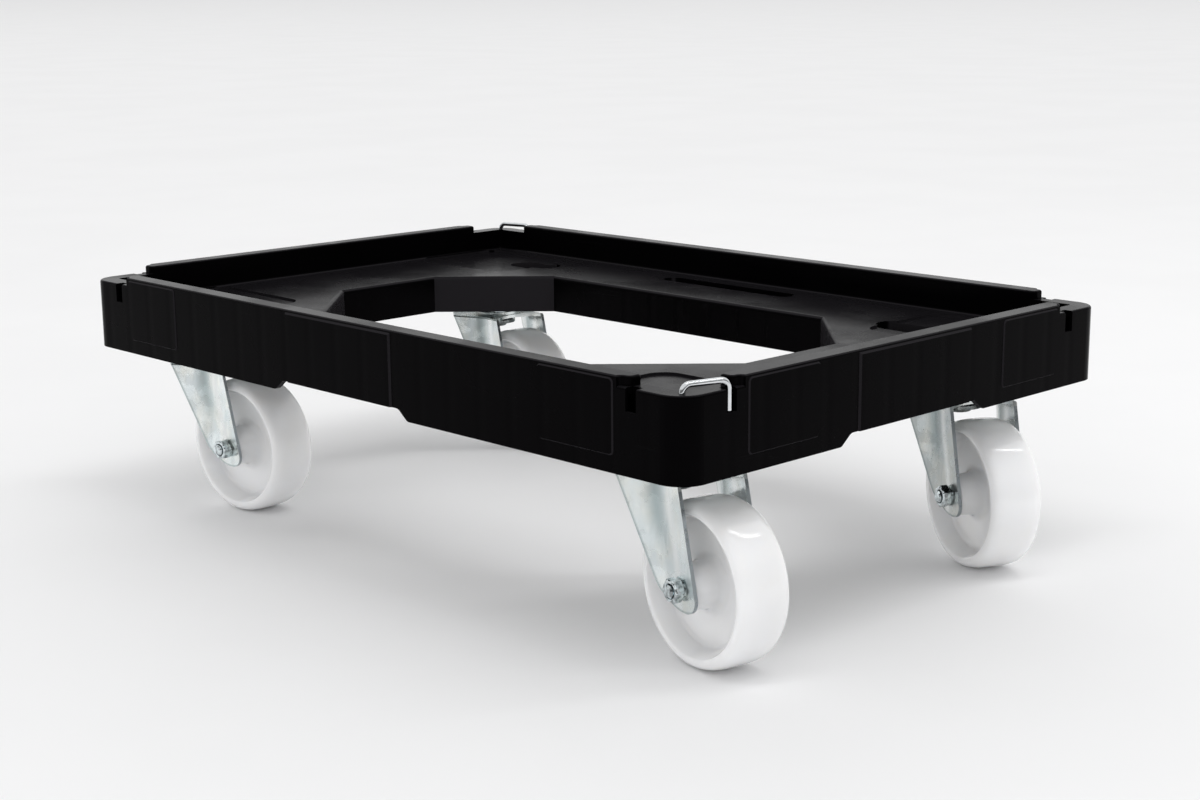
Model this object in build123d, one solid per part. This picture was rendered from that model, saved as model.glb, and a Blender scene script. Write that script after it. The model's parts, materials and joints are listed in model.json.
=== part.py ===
"""Platform dolly for 600 x 400 containers: a moulded frame on four swivel castors, with wire coupling hooks.

Millimetres. The origin is on the floor under the middle of the frame, X along the long side, Z up.
"""
from build123d import *
import math
import os

# Moulded frame, seen from above
FRAME_LENGTH = 610.0
FRAME_WIDTH = 410.0
CORNER_RADIUS = 17.0
RIM_WIDTH = 14.0
WALL = 4.0
OPENING_BORDER_ENDS = 99.0
OPENING_BORDER_SIDES = 92.0
OPENING_CHAMFER = 68.0
CASTOR_INSET = 66.0

# Moulded frame, heights
BOSS_HEIGHT = 22.5
DECK_THICKNESS = 4.0
SKIRT_OVERLAP = 6.5
SKIRT_MIDDLE_RISE = 7.0
LEDGE_RISE = 17.0
RIM_RISE = 22.7
OPENING_WALL_GAP = 4.5
RIB_DEPTH = 19.0
RIB_THICKNESS = 3.0
RIB_PITCH = 28.0

# Details on the frame's four outer faces, measured from the corner or from the middle of a side
RIM_FULL_END = 50.0
RIM_NUB_END = 43.0
RIM_SCOOP_RADIUS = 3.5
RIM_END_RADIUS = 3.4
RIM_EDGE_RADIUS = 1.6
SLOT_INSET = 39.0
SLOT_WIDTH = 8.0
SLOT_DEPTH = 6.0
SLOT_LIP = 2.0
SLOT_BELOW_LEDGE = 13.5
PANEL_INSET = 52.5
PANEL_WIDTH = 62.0
PANEL_RAISE = 0.8
PANEL_RISE = 10.0
PANEL_RADIUS = 3.0
MIDDLE_HALF = 55.5
MIDDLE_RAISE = 1.2
RAISED_SLOPE = 45.0
CUTOUT_HALF_TOP = 61.5
CUTOUT_HALF_BOTTOM = 70.5
CUTOUT_TOP_RADIUS = 5.5
CUTOUT_BOTTOM_RADIUS = 4.0
FOOT_RADIUS = 2.5
OPENING_EDGE_RADIUS = 3.0

# Details on the deck
HAND_SLOT_LENGTH = 130.0
HAND_SLOT_WIDTH = 16.0
HAND_SLOT_INSET = 29.0
HAND_SLOT_COLLAR = 12.0
PAD_RADIUS = 15.0
PAD_DEPTH = 1.5
POCKET_LENGTH = 50.0
POCKET_WIDTH = 25.0
POCKET_DEPTH = 8.0
POCKET_INBOARD_HOOKED = 42.0
POCKET_OUTBOARD_HOOKED = 8.0
POCKET_INBOARD_PLAIN = 34.0
POCKET_OUTBOARD_PLAIN = -13.0

# Castor wheel
WHEEL_DIAMETER = 100.0
WHEEL_WIDTH = 36.0
WHEEL_EDGE_RADIUS = 7.0
WHEEL_RIM = 7.5
WHEEL_WEB = 8.0
WHEEL_DRAFT = 2.0
HUB_RADIUS = 13.0
HUB_PROUD = 4.0

# Castor fork: places along the trail from the kingpin at the crown, and from the axle at its height
TRAIL = 35.0
FORK_THICKNESS = 2.5
FORK_CROWN_FRONT = 33.0
FORK_CROWN_REAR = 12.0
FORK_CROWN_HOLLOW = 22.0
FORK_TOE_FRONT = 13.5
FORK_HEEL_BACK = 18.0
FORK_FOOT_DROP = 13.0
FORK_TOE_RADIUS = 8.0
FORK_HEEL_RADIUS = 26.0
FORK_FOLD_CROWN = 13.0
FORK_FOLD_BACK = 11.5
FORK_FOLD_RADIUS = 12.0
FORK_WING_ANGLE = 25.0
FORK_EDGE_RADIUS = 1.5
CROWN_GAP = 8.0
CROWN_RACE_HEIGHT = 2.5

# Castor plate and bearings
PLATE_LENGTH = 105.0
PLATE_WIDTH = 85.0
PLATE_THICKNESS = 3.0
PLATE_RADIUS = 8.0
PLATE_HOLES_LONG = 80.0
PLATE_HOLES_ACROSS = 60.0
DISH_DEPTH = 8.0
UPPER_BALL_RADIUS = 3.0
UPPER_BALL_PITCH = 17.0
UPPER_BALL_COUNT = 10
LOWER_BALL_RADIUS = 2.5
LOWER_BALL_PITCH = 12.0
LOWER_BALL_COUNT = 8
RACE_DEPTH = 1.0
RACE_LIP = 4.0
LOWER_RACE_THICKNESS = 2.5
KINGPIN_RADIUS = 5.0
KINGPIN_HEAD_RADIUS = 9.0
KINGPIN_HEAD = 3.5

# Fasteners
SCREW_RADIUS = 4.0
HEX_ACROSS_FLATS = 13.0
HEX_HEAD = 5.3
NUT_HEIGHT = 7.0
NUT_COLLAR = 2.0
BOLT_PROUD = 1.5
BOLT_CHAMFER = 0.8
SLEEVE_WALL = 2.0
PLATE_SCREW_LENGTH = 16.0

# Wire hooks
WIRE_RADIUS = 1.8
WIRE_BEND = 5.0
HOOK_SHANK_INSET = 10.5
HOOK_LEG_INSET = 2.6
HOOK_RUN_LIFT = 4.6
HOOK_LEG_DROP = 13.0
HOOK_SHANK_BELOW_DECK = 12.0
HOOK_BOSS_RADIUS = 5.5
HOOK_BOSS_BELOW_DECK = 5.0
RETAINER_RADIUS = 3.4
RETAINER_THICKNESS = 2.0

# Clearances
FIT = 0.05
RUNNING_FIT = 0.1
BALL_CLEARANCE = 0.15
HUB_GAP = 0.5
KINGPIN_CLEARANCE = 1.0
CUT_OVERRUN = 1.0

# Where the four castors trail at rest, degrees from +X
CASTORS = {
    "front_right": (1, -1, -10.0),
    "back_right": (1, 1, -26.0),
    "front_left": (-1, -1, 5.0),
    "back_left": (-1, 1, -4.0),
}

# Each pad's pocket, from the castor's axis: how far inboard along X and outboard along Y
POCKET_OFFSETS = {
    "front_right": (POCKET_INBOARD_HOOKED, POCKET_OUTBOARD_HOOKED),
    "back_left": (POCKET_INBOARD_HOOKED, POCKET_OUTBOARD_HOOKED),
    "back_right": (POCKET_INBOARD_PLAIN, POCKET_OUTBOARD_PLAIN),
    "front_left": (POCKET_INBOARD_PLAIN, POCKET_OUTBOARD_PLAIN),
}

# Heights that follow from the castor up, and from the castor's plate down and up
AXLE_HEIGHT = WHEEL_DIAMETER / 2
CROWN_UNDER = WHEEL_DIAMETER + CROWN_GAP
CROWN_TOP = CROWN_UNDER + FORK_THICKNESS
RACE_TOP = CROWN_TOP + CROWN_RACE_HEIGHT
UPPER_BALL_HEIGHT = RACE_TOP - RACE_DEPTH + UPPER_BALL_RADIUS
DISH_UNDER = UPPER_BALL_HEIGHT + UPPER_BALL_RADIUS - RACE_DEPTH
PLATE_UNDER = DISH_UNDER + DISH_DEPTH
PLATE_TOP = PLATE_UNDER + PLATE_THICKNESS
LOWER_BALL_HEIGHT = CROWN_UNDER + RACE_DEPTH - LOWER_BALL_RADIUS
LOWER_RACE_TOP = LOWER_BALL_HEIGHT - LOWER_BALL_RADIUS + RACE_DEPTH
LOWER_RACE_UNDER = LOWER_RACE_TOP - LOWER_RACE_THICKNESS
DECK_UNDER = PLATE_TOP + BOSS_HEIGHT
DECK_TOP = DECK_UNDER + DECK_THICKNESS
SKIRT_BOTTOM = PLATE_TOP - SKIRT_OVERLAP
SKIRT_MIDDLE = SKIRT_BOTTOM + SKIRT_MIDDLE_RISE
LEDGE_TOP = DECK_TOP + LEDGE_RISE
RIM_TOP = DECK_TOP + RIM_RISE
OPENING_WALL_BOTTOM = SKIRT_BOTTOM + OPENING_WALL_GAP
RIB_BOTTOM = DECK_UNDER - RIB_DEPTH
SLOT_BOTTOM = LEDGE_TOP - SLOT_BELOW_LEDGE

# Places seen from above
HALF_LENGTH = FRAME_LENGTH / 2
HALF_WIDTH = FRAME_WIDTH / 2
CASTOR_X = HALF_LENGTH - CASTOR_INSET
CASTOR_Y = HALF_WIDTH - CASTOR_INSET
OPENING_X = HALF_LENGTH - OPENING_BORDER_ENDS
OPENING_Y = HALF_WIDTH - OPENING_BORDER_SIDES
HAND_SLOT_Y = HALF_WIDTH - HAND_SLOT_INSET - HAND_SLOT_WIDTH / 2
HUB_HALF = WHEEL_WIDTH / 2 + HUB_PROUD
FORK_INNER = HUB_HALF + HUB_GAP
FORK_OUTER = FORK_INNER + FORK_THICKNESS
SLEEVE_RADIUS = SCREW_RADIUS + FIT + SLEEVE_WALL


def at_height(shape, height):
    """Move a flat sketch or a solid up to a height."""
    return Pos(0, 0, height) * shape


def prism(sketch, low, high):
    """Extrude a plan sketch between two heights."""
    return extrude(at_height(sketch, low), high - low)


def plan(inset):
    """The frame's rounded outline, drawn in by an inset."""
    radius = max(CORNER_RADIUS - inset, RIM_EDGE_RADIUS)
    return RectangleRounded(FRAME_LENGTH - 2 * inset, FRAME_WIDTH - 2 * inset, radius)


def octagon(grow):
    """The deck opening: a rectangle with its corners cut at 45 degrees, grown evenly."""
    half_x = OPENING_X + grow
    half_y = OPENING_Y + grow
    cut = OPENING_CHAMFER + grow * (2 - math.sqrt(2))
    corner = [(half_x, half_y - cut), (half_x - cut, half_y)]
    points = corner + [(-x, y) for x, y in reversed(corner)]
    points += [(-x, -y) for x, y in points]
    return make_face(Polyline(*points, close=True))


def four_sides(make):
    """Make a feature for each outer side from a function of the half length along it and across it.

    The function builds on the side that faces -Y and runs along X.
    """
    long_side = make(HALF_LENGTH, HALF_WIDTH)
    short_side = make(HALF_WIDTH, HALF_LENGTH)
    turned = [long_side, Rot(0, 0, 180) * long_side]
    turned += [Rot(0, 0, 90) * short_side, Rot(0, 0, -90) * short_side]
    return [solid for group in turned for solid in group.solids()]


def round_corner(outline, point, radius):
    """Round the corner of a flat outline that is nearest to a point."""
    return fillet(outline.vertices().sort_by_distance((*point, 0))[0], radius)


def side_plane(across):
    """Drawing plane on the side facing -Y: x along the side, y up, outwards positive."""
    return Plane(origin=(0, -across, 0), x_dir=(1, 0, 0), z_dir=(0, -1, 0))


def face_cut(profile, across, shallow, deep):
    """Cut tool in the side facing -Y: an (x, z) profile between two depths into the face."""
    return extrude(side_plane(across - shallow) * profile, shallow - deep)


def both_ends(centre, middle, profile):
    """An (x, z) profile placed near both ends of a side."""
    return Pos(centre, middle) * profile + Pos(-centre, middle) * profile


def rim_bar(along, across):
    """Upright rim on one side, scooped out at both ends so that a narrower round nub is left there."""
    full = along - RIM_FULL_END
    end = along - RIM_NUB_END
    scoop = RIM_SCOOP_RADIUS
    bend = scoop * math.sqrt(0.5)
    right = [
        Line((0, -across), (full, -across)),
        ThreePointArc(
            (full, -across),
            (full + scoop - bend, -across + bend),
            (full + scoop, -across + scoop),
        ),
        Polyline(
            (full + scoop, -across + scoop),
            (end, -across + scoop),
            (end, -across + RIM_WIDTH),
            (0, -across + RIM_WIDTH),
            (0, -across),
        ),
    ]
    half = make_face(Curve() + right)
    half = round_corner(half, (end, -across + scoop), RIM_END_RADIUS)
    half = round_corner(half, (end, -across + RIM_WIDTH), RIM_END_RADIUS)
    bar = prism(half + mirror(half, Plane.YZ), LEDGE_TOP - WALL / 2, RIM_TOP)
    top = bar.edges().filter_by_position(Axis.Z, RIM_TOP - FIT, RIM_TOP + FIT)
    return fillet(top, RIM_EDGE_RADIUS)


def coupling_slots(along, across):
    """Two slots near the corners of one side, open outwards and upwards."""
    height = LEDGE_TOP + CUT_OVERRUN - SLOT_BOTTOM
    both = both_ends(along - SLOT_INSET, SLOT_BOTTOM + height / 2, Rectangle(SLOT_WIDTH, height))
    return face_cut(both, across, -CUT_OVERRUN, SLOT_DEPTH)


def slot_pockets(along, across):
    """Wider pockets behind the slots, which leave only a thin lip round each of them."""
    low = SLOT_BOTTOM - WALL
    height = LEDGE_TOP - WALL - low
    both = both_ends(along - SLOT_INSET, low + height / 2, Rectangle(SLOT_WIDTH + 2 * WALL, height))
    return face_cut(both, across, SLOT_LIP, SLOT_DEPTH)


def raised(profile, across, raise_by):
    """Raised patch with sloping edges, from a profile drawn its own height too wide and begun that far inside."""
    return extrude(side_plane(across - raise_by) * profile, 2 * raise_by, taper=RAISED_SLOPE)


def raised_panels(along, across):
    """Two raised panels on one side, from under the rim's top edge downwards, with round corners."""
    bottom = SKIRT_BOTTOM + PANEL_RISE
    top = RIM_TOP - RIM_EDGE_RADIUS
    grown = 2 * PANEL_RAISE
    shape = RectangleRounded(PANEL_WIDTH + grown, top - bottom + grown, PANEL_RADIUS + PANEL_RAISE)
    centre = along - PANEL_INSET - PANEL_WIDTH / 2
    middle = (bottom + top) / 2
    panels = [raised(Pos(x, middle) * shape, across, PANEL_RAISE) for x in (centre, -centre)]
    return Part() + panels


def raised_middle(along, across):
    """The middle stretch of one side stands proud a little, from under the rim's top edge to its lower edge."""
    top = RIM_TOP - RIM_EDGE_RADIUS + MIDDLE_RAISE
    low = SKIRT_MIDDLE - 2 * MIDDLE_RAISE
    shape = Rectangle(2 * (MIDDLE_HALF + MIDDLE_RAISE), top - low)
    return raised(Pos(0, (low + top) / 2) * shape, across, MIDDLE_RAISE)


def skirt_cutout(along, across):
    """The skirt is shorter in the middle of each side, with a slanted, rounded step at both ends."""
    low = SKIRT_BOTTOM - CUT_OVERRUN
    step = [(CUTOUT_HALF_BOTTOM, SKIRT_BOTTOM), (CUTOUT_HALF_TOP, SKIRT_MIDDLE)]
    right = [(CUTOUT_HALF_BOTTOM + WALL, low), (CUTOUT_HALF_BOTTOM + WALL, SKIRT_BOTTOM), *step]
    outline = make_face(Polyline(*right, *[(-x, z) for x, z in reversed(right)], close=True))
    for (x, z), radius in zip(step, (CUTOUT_BOTTOM_RADIUS, CUTOUT_TOP_RADIUS)):
        outline = round_corner(outline, (x, z), radius)
        outline = round_corner(outline, (-x, z), radius)
    return face_cut(outline, across, -MIDDLE_RAISE - CUT_OVERRUN, WALL + CUT_OVERRUN)


def corner_places(height):
    """The four castor axes at a height."""
    return [Pos(sx * CASTOR_X, sy * CASTOR_Y, height) for sx, sy, _ in CASTORS.values()]


def hand_slots(grow):
    """Plan of the two hand slots beside the long rims, grown evenly."""
    slot = RectangleRounded(
        HAND_SLOT_LENGTH + 2 * grow, HAND_SLOT_WIDTH + 2 * grow, (HAND_SLOT_WIDTH + grow) / 2 - FIT
    )
    return Pos(0, HAND_SLOT_Y) * slot + Pos(0, -HAND_SLOT_Y) * slot


def pad_pockets(grow):
    """Plan of the pocket at each castor pad, grown evenly."""
    shape = RectangleRounded(
        POCKET_LENGTH + 2 * grow, POCKET_WIDTH + 2 * grow, (POCKET_WIDTH + grow) / 2 - FIT
    )
    pockets = Sketch()
    for name, (sx, sy, _) in CASTORS.items():
        inboard, outboard = POCKET_OFFSETS[name]
        pockets += Pos(sx * (CASTOR_X - inboard), sy * (CASTOR_Y + outboard)) * shape
    return pockets


def rib_places(reach):
    """Places of ribs at an even pitch, from the middle out to a reach on both sides."""
    count = int(reach / RIB_PITCH)
    return [index * RIB_PITCH for index in range(-count, count + 1)]


def ribs():
    """Plan of the underside ribs between the skirt and the wall round the opening."""
    across = Rectangle(RIB_THICKNESS, FRAME_WIDTH - WALL)
    along = Rectangle(FRAME_LENGTH - WALL, RIB_THICKNESS)
    strips = [Pos(x, 0) * across for x in rib_places(CASTOR_X - PLATE_LENGTH / 2)]
    strips += [Pos(0, y) * along for y in rib_places(CASTOR_Y - PLATE_WIDTH / 2)]
    return (Sketch() + strips) - octagon(WALL / 2)


def castor_boss():
    """Plan of the walls that stand on one castor plate: a frame, a cross of ribs and four screw bosses."""
    boss = RectangleRounded(PLATE_LENGTH, PLATE_WIDTH, PLATE_RADIUS)
    boss -= Rectangle(PLATE_LENGTH - 2 * WALL, PLATE_WIDTH - 2 * WALL)
    boss += Rectangle(PLATE_LENGTH - WALL, RIB_THICKNESS) + Rectangle(RIB_THICKNESS, PLATE_WIDTH - WALL)
    dish_clear = dish_radius() + PLATE_THICKNESS + WALL
    boss += Circle(dish_clear)
    boss -= Circle(dish_clear - WALL)
    for x, y in screw_places():
        boss += Pos(x, y) * Circle(SCREW_RADIUS + WALL)
    return boss


def screw_places():
    """The four plate screws, from the castor's axis."""
    half_x = PLATE_HOLES_LONG / 2
    half_y = PLATE_HOLES_ACROSS / 2
    return [(half_x, half_y), (-half_x, half_y), (-half_x, -half_y), (half_x, -half_y)]


def dish_radius():
    """Outer radius of the flat of the plate's pressed race."""
    return UPPER_BALL_PITCH + RACE_LIP


def hook_places():
    """Shank place, direction towards the leg and reach of the hooks, by corner."""
    across = HOOK_SHANK_INSET - HOOK_LEG_INSET
    along = SLOT_INSET - HOOK_SHANK_INSET
    reach = math.hypot(across, along)
    turn = math.degrees(math.atan2(along, across))
    x = HALF_LENGTH - HOOK_SHANK_INSET
    y = HALF_WIDTH - HOOK_SHANK_INSET
    return {
        "front_right": (x, -y, turn, reach),
        "back_left": (-x, y, 90 - turn, reach),
    }


def make_deck_frame():
    """The black moulding: skirt, hollow rim, deck, opening, ribs, bosses and every recess."""
    body = prism(plan(0), SKIRT_BOTTOM, LEDGE_TOP)
    tray = prism(plan(RIM_WIDTH), DECK_TOP, LEDGE_TOP + CUT_OVERRUN)
    underside = prism(plan(WALL), SKIRT_BOTTOM - CUT_OVERRUN, DECK_UNDER)
    hollow = prism(plan(WALL) - plan(RIM_WIDTH - WALL), DECK_UNDER - CUT_OVERRUN, LEDGE_TOP - WALL)
    opening = prism(octagon(0), DECK_UNDER - CUT_OVERRUN, DECK_TOP + CUT_OVERRUN)
    body = body - [tray, underside, hollow, opening]

    ledge_edges = body.edges().filter_by_position(Axis.Z, LEDGE_TOP - FIT, LEDGE_TOP + FIT)
    around_frame = [edge for edge in ledge_edges if abs(edge.center().X) > HALF_LENGTH - RIM_WIDTH / 2
                    or abs(edge.center().Y) > HALF_WIDTH - RIM_WIDTH / 2]
    body = fillet(around_frame, RIM_EDGE_RADIUS)
    deck_edges = body.edges().filter_by_position(Axis.Z, DECK_TOP - FIT, DECK_TOP + FIT)
    around_opening = [edge for edge in deck_edges if abs(edge.center().X) < OPENING_X + FIT
                      and abs(edge.center().Y) < OPENING_Y + FIT]
    body = fillet(around_opening, OPENING_EDGE_RADIUS)
    deck_edges = body.edges().filter_by_position(Axis.Z, DECK_TOP - FIT, DECK_TOP + FIT)
    foot = [edge for edge in deck_edges if abs(edge.center().X) > OPENING_X + CUT_OVERRUN + OPENING_EDGE_RADIUS
            or abs(edge.center().Y) > OPENING_Y + CUT_OVERRUN + OPENING_EDGE_RADIUS]
    body = fillet(foot, FOOT_RADIUS)

    rib_solid = prism(ribs(), RIB_BOTTOM, DECK_UNDER)
    wall = prism(octagon(WALL) - octagon(0), OPENING_WALL_BOTTOM, DECK_UNDER)
    collars = prism(hand_slots(RIB_THICKNESS), DECK_UNDER - HAND_SLOT_COLLAR, DECK_UNDER)
    boss = prism(castor_boss(), PLATE_TOP, DECK_UNDER)
    cups = prism(pad_pockets(RIB_THICKNESS), DECK_TOP - POCKET_DEPTH - RIB_THICKNESS, DECK_UNDER)
    added = [rib_solid, wall, collars, cups]
    added += [place * at_height(boss, -PLATE_TOP) for place in corner_places(PLATE_TOP)]
    for x, y, _, _ in hook_places().values():
        shank = Pos(x, y) * Circle(HOOK_BOSS_RADIUS)
        added.append(prism(shank, DECK_UNDER - HOOK_BOSS_BELOW_DECK, LEDGE_TOP))
    for feature in (rim_bar, raised_panels, raised_middle):
        added += four_sides(feature)
    body = body + added

    cuts = [prism(hand_slots(0), RIB_BOTTOM - CUT_OVERRUN, DECK_TOP + CUT_OVERRUN)]
    cuts.append(prism(pad_pockets(0), DECK_TOP - POCKET_DEPTH, DECK_TOP + CUT_OVERRUN))
    pad = RectangleRounded(PLATE_LENGTH, PLATE_WIDTH, PAD_RADIUS)
    pad_cut = extrude(pad, PAD_DEPTH + CUT_OVERRUN)
    cuts += [place * pad_cut for place in corner_places(DECK_TOP - PAD_DEPTH)]
    pilot = prism(Circle(SCREW_RADIUS + FIT), -CUT_OVERRUN, PLATE_SCREW_LENGTH + CUT_OVERRUN - PLATE_THICKNESS)
    for place in corner_places(PLATE_TOP):
        cuts += [place * Pos(x, y) * pilot for x, y in screw_places()]
    for x, y, _, _ in hook_places().values():
        bore = Pos(x, y) * Circle(WIRE_RADIUS + RUNNING_FIT)
        cuts.append(prism(bore, SKIRT_BOTTOM, LEDGE_TOP + CUT_OVERRUN))
    for feature in (coupling_slots, slot_pockets, skirt_cutout):
        cuts += four_sides(feature)
    return body - cuts


def make_hook(reach):
    """Bent wire in the XZ plane: shank on the Z axis, run towards +X, leg hanging at the reach."""
    run = LEDGE_TOP + HOOK_RUN_LIFT
    path = FilletPolyline(
        (0, 0, DECK_UNDER - HOOK_SHANK_BELOW_DECK),
        (0, 0, run),
        (reach, 0, run),
        (reach, 0, LEDGE_TOP - HOOK_LEG_DROP),
        radius=WIRE_BEND,
    )
    start = Plane(origin=path @ 0, z_dir=path % 0)
    return sweep(start * Circle(WIRE_RADIUS), path)


def make_retainer():
    """Push-on washer under the hook's boss."""
    top = DECK_UNDER - HOOK_BOSS_BELOW_DECK - BALL_CLEARANCE
    ring = Circle(RETAINER_RADIUS) - Circle(WIRE_RADIUS + FIT)
    return prism(ring, top - RETAINER_THICKNESS, top)


def make_plate():
    """Castor top plate with its pressed-down upper race and screw holes."""
    plate = prism(RectangleRounded(PLATE_LENGTH, PLATE_WIDTH, PLATE_RADIUS), PLATE_UNDER, PLATE_TOP)
    flat = dish_radius()
    shoulder = flat + PLATE_THICKNESS
    pressed = Polyline(
        (0, DISH_UNDER), (flat, DISH_UNDER), (shoulder, PLATE_UNDER), (shoulder, PLATE_TOP), (0, PLATE_TOP),
        close=True,
    )
    inside = Polyline(
        (0, DISH_UNDER + PLATE_THICKNESS),
        (flat - PLATE_THICKNESS, DISH_UNDER + PLATE_THICKNESS),
        (flat, PLATE_TOP + CUT_OVERRUN),
        (0, PLATE_TOP + CUT_OVERRUN),
        close=True,
    )
    plate += revolve(Plane.XZ * make_face(pressed), Axis.Z)
    plate -= revolve(Plane.XZ * make_face(inside), Axis.Z)
    plate -= at_height(Torus(UPPER_BALL_PITCH, UPPER_BALL_RADIUS + BALL_CLEARANCE), UPPER_BALL_HEIGHT)
    plate -= prism(Circle(KINGPIN_RADIUS + FIT), DISH_UNDER - CUT_OVERRUN, PLATE_TOP)
    hole = prism(Circle(SCREW_RADIUS + FIT), PLATE_UNDER - CUT_OVERRUN, PLATE_TOP + CUT_OVERRUN)
    return plate - [Pos(x, y) * hole for x, y in screw_places()]


def make_kingpin():
    """Swivel rivet: shank with a head below the lower race and one in the plate's dish."""
    low = LOWER_RACE_UNDER - KINGPIN_HEAD
    high = DISH_UNDER + PLATE_THICKNESS + KINGPIN_HEAD
    lower = prism(Circle(KINGPIN_HEAD_RADIUS), low, LOWER_RACE_UNDER)
    upper = prism(Circle(KINGPIN_HEAD_RADIUS), high - KINGPIN_HEAD, high)
    lower = fillet(lower.edges().sort_by(Axis.Z)[:1], KINGPIN_HEAD / 2)
    upper = fillet(upper.edges().sort_by(Axis.Z)[-1:], KINGPIN_HEAD / 2)
    return lower + prism(Circle(KINGPIN_RADIUS), LOWER_RACE_UNDER, high - KINGPIN_HEAD) + upper


def make_lower_race():
    """Dished washer under the fork's crown that carries the lower row of balls."""
    outer = LOWER_BALL_PITCH + RACE_LIP
    ring = Circle(outer) - Circle(KINGPIN_RADIUS + FIT)
    race = prism(ring, LOWER_RACE_UNDER, LOWER_RACE_TOP)
    return race - at_height(Torus(LOWER_BALL_PITCH, LOWER_BALL_RADIUS + BALL_CLEARANCE), LOWER_BALL_HEIGHT)


def make_balls(count, pitch, radius, height):
    """A row of bearing balls, as separate solids."""
    step = 360 / count
    balls = [Rot(0, 0, index * step) * Pos(pitch, 0, height) * Sphere(radius) for index in range(count)]
    return Compound(children=balls)


def fork_edge(crown, axle, height):
    """Where a straight edge of the fork's side view is at a height, from its places at the crown and the axle."""
    return crown + (axle - crown) * (CROWN_TOP - height) / (CROWN_TOP - AXLE_HEIGHT)


def fork_outline():
    """Side view of a fork leg: wide at the crown, slanting forwards to a foot with a round toe and heel."""
    bottom = AXLE_HEIGHT - FORK_FOOT_DROP
    toe = (fork_edge(FORK_CROWN_FRONT, TRAIL + FORK_TOE_FRONT, bottom), bottom)
    heel = (fork_edge(-FORK_CROWN_REAR, TRAIL - FORK_HEEL_BACK, bottom), bottom)
    outline = make_face(Polyline(
        (-FORK_CROWN_REAR, CROWN_TOP), (FORK_CROWN_FRONT, CROWN_TOP), toe, heel, close=True,
    ))
    outline = round_corner(outline, toe, FORK_TOE_RADIUS)
    return round_corner(outline, heel, FORK_HEEL_RADIUS)


def crown_reach(along):
    """How far out the crown reaches into the leg's sheet, at a place along the trail."""
    inside = FORK_INNER + (FORK_THICKNESS - FORK_EDGE_RADIUS) / 2
    return inside + max(0, FORK_FOLD_CROWN - along) * math.tan(math.radians(FORK_WING_ANGLE))


def fork_leg():
    """The leg on the +Y side: sheet that is flat at the front and bent outwards behind a slanting fold."""
    foot = TRAIL - FORK_FOLD_BACK
    lean = math.atan2(foot - FORK_FOLD_CROWN, CROWN_TOP - AXLE_HEIGHT)
    across_fold = Plane(
        origin=(foot, 0, AXLE_HEIGHT),
        x_dir=(math.cos(lean), 0, math.sin(lean)),
        z_dir=(-math.sin(lean), 0, math.cos(lean)),
    )
    angle = math.radians(FORK_WING_ANGLE)
    reach = WHEEL_DIAMETER
    wing = (-reach * math.cos(angle), FORK_OUTER + reach * math.sin(angle))
    wing_inner = (wing[0] - FORK_THICKNESS * math.sin(angle), wing[1] - FORK_THICKNESS * math.cos(angle))
    fold = (0, FORK_OUTER)
    fold_inner = (-FORK_THICKNESS * math.tan(angle / 2), FORK_INNER)
    section = make_face(Polyline(
        (reach, FORK_OUTER), fold, wing, wing_inner, fold_inner, (reach, FORK_INNER), close=True,
    ))
    section = round_corner(section, fold, FORK_FOLD_RADIUS)
    section = round_corner(section, fold_inner, FORK_FOLD_RADIUS + FORK_THICKNESS)
    sheet = extrude(across_fold * section, reach, both=True)
    leg = sheet & extrude(side_plane(0) * fork_outline(), reach, both=True)
    top = leg.edges().filter_by_position(Axis.Z, CROWN_TOP - FIT, CROWN_TOP + FIT)
    outer = [edge for edge in top if edge.center().Y > crown_reach(edge.center().X)
             and -FORK_CROWN_REAR + FIT < edge.center().X < FORK_CROWN_FRONT - FIT]
    return fillet(outer, FORK_EDGE_RADIUS)


def fork_crown():
    """Plan of the crown: out into the legs' sheets, round behind the kingpin and hollow at the front."""
    side = [(along, crown_reach(along)) for along in (FORK_CROWN_FRONT, FORK_FOLD_CROWN, -FORK_CROWN_REAR)]
    other = [(x, -y) for x, y in reversed(side)]
    back = (-math.hypot(*side[-1]), 0)
    return make_face(Curve() + [
        Polyline(*side),
        ThreePointArc(side[-1], back, other[0]),
        Polyline(*other),
        ThreePointArc(other[-1], (FORK_CROWN_HOLLOW, 0), side[0]),
    ])


def make_fork():
    """Pressed fork: crown with ball races above and below, and two legs with wings bent outwards."""
    leg = fork_leg()
    fork = prism(fork_crown(), CROWN_UNDER, CROWN_TOP) + [leg, mirror(leg, Plane.XZ)]
    fork += prism(Circle(UPPER_BALL_PITCH + RACE_LIP), CROWN_UNDER, RACE_TOP)
    bore = Circle(KINGPIN_RADIUS + KINGPIN_CLEARANCE)
    axle_hole = prism(Circle(SCREW_RADIUS + FIT), -FORK_OUTER - CUT_OVERRUN, FORK_OUTER + CUT_OVERRUN)
    return fork - [
        at_height(Torus(UPPER_BALL_PITCH, UPPER_BALL_RADIUS + BALL_CLEARANCE), UPPER_BALL_HEIGHT),
        at_height(Torus(LOWER_BALL_PITCH, LOWER_BALL_RADIUS + BALL_CLEARANCE), LOWER_BALL_HEIGHT),
        prism(bore, CROWN_UNDER - CUT_OVERRUN, RACE_TOP + CUT_OVERRUN),
        on_axle(axle_hole),
    ]


def on_axle(shape):
    """Turn a shape made along Z so that it lies on the axle, its +Z end towards +Y."""
    return Pos(TRAIL, 0, AXLE_HEIGHT) * Rot(-90, 0, 0) * shape


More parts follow.
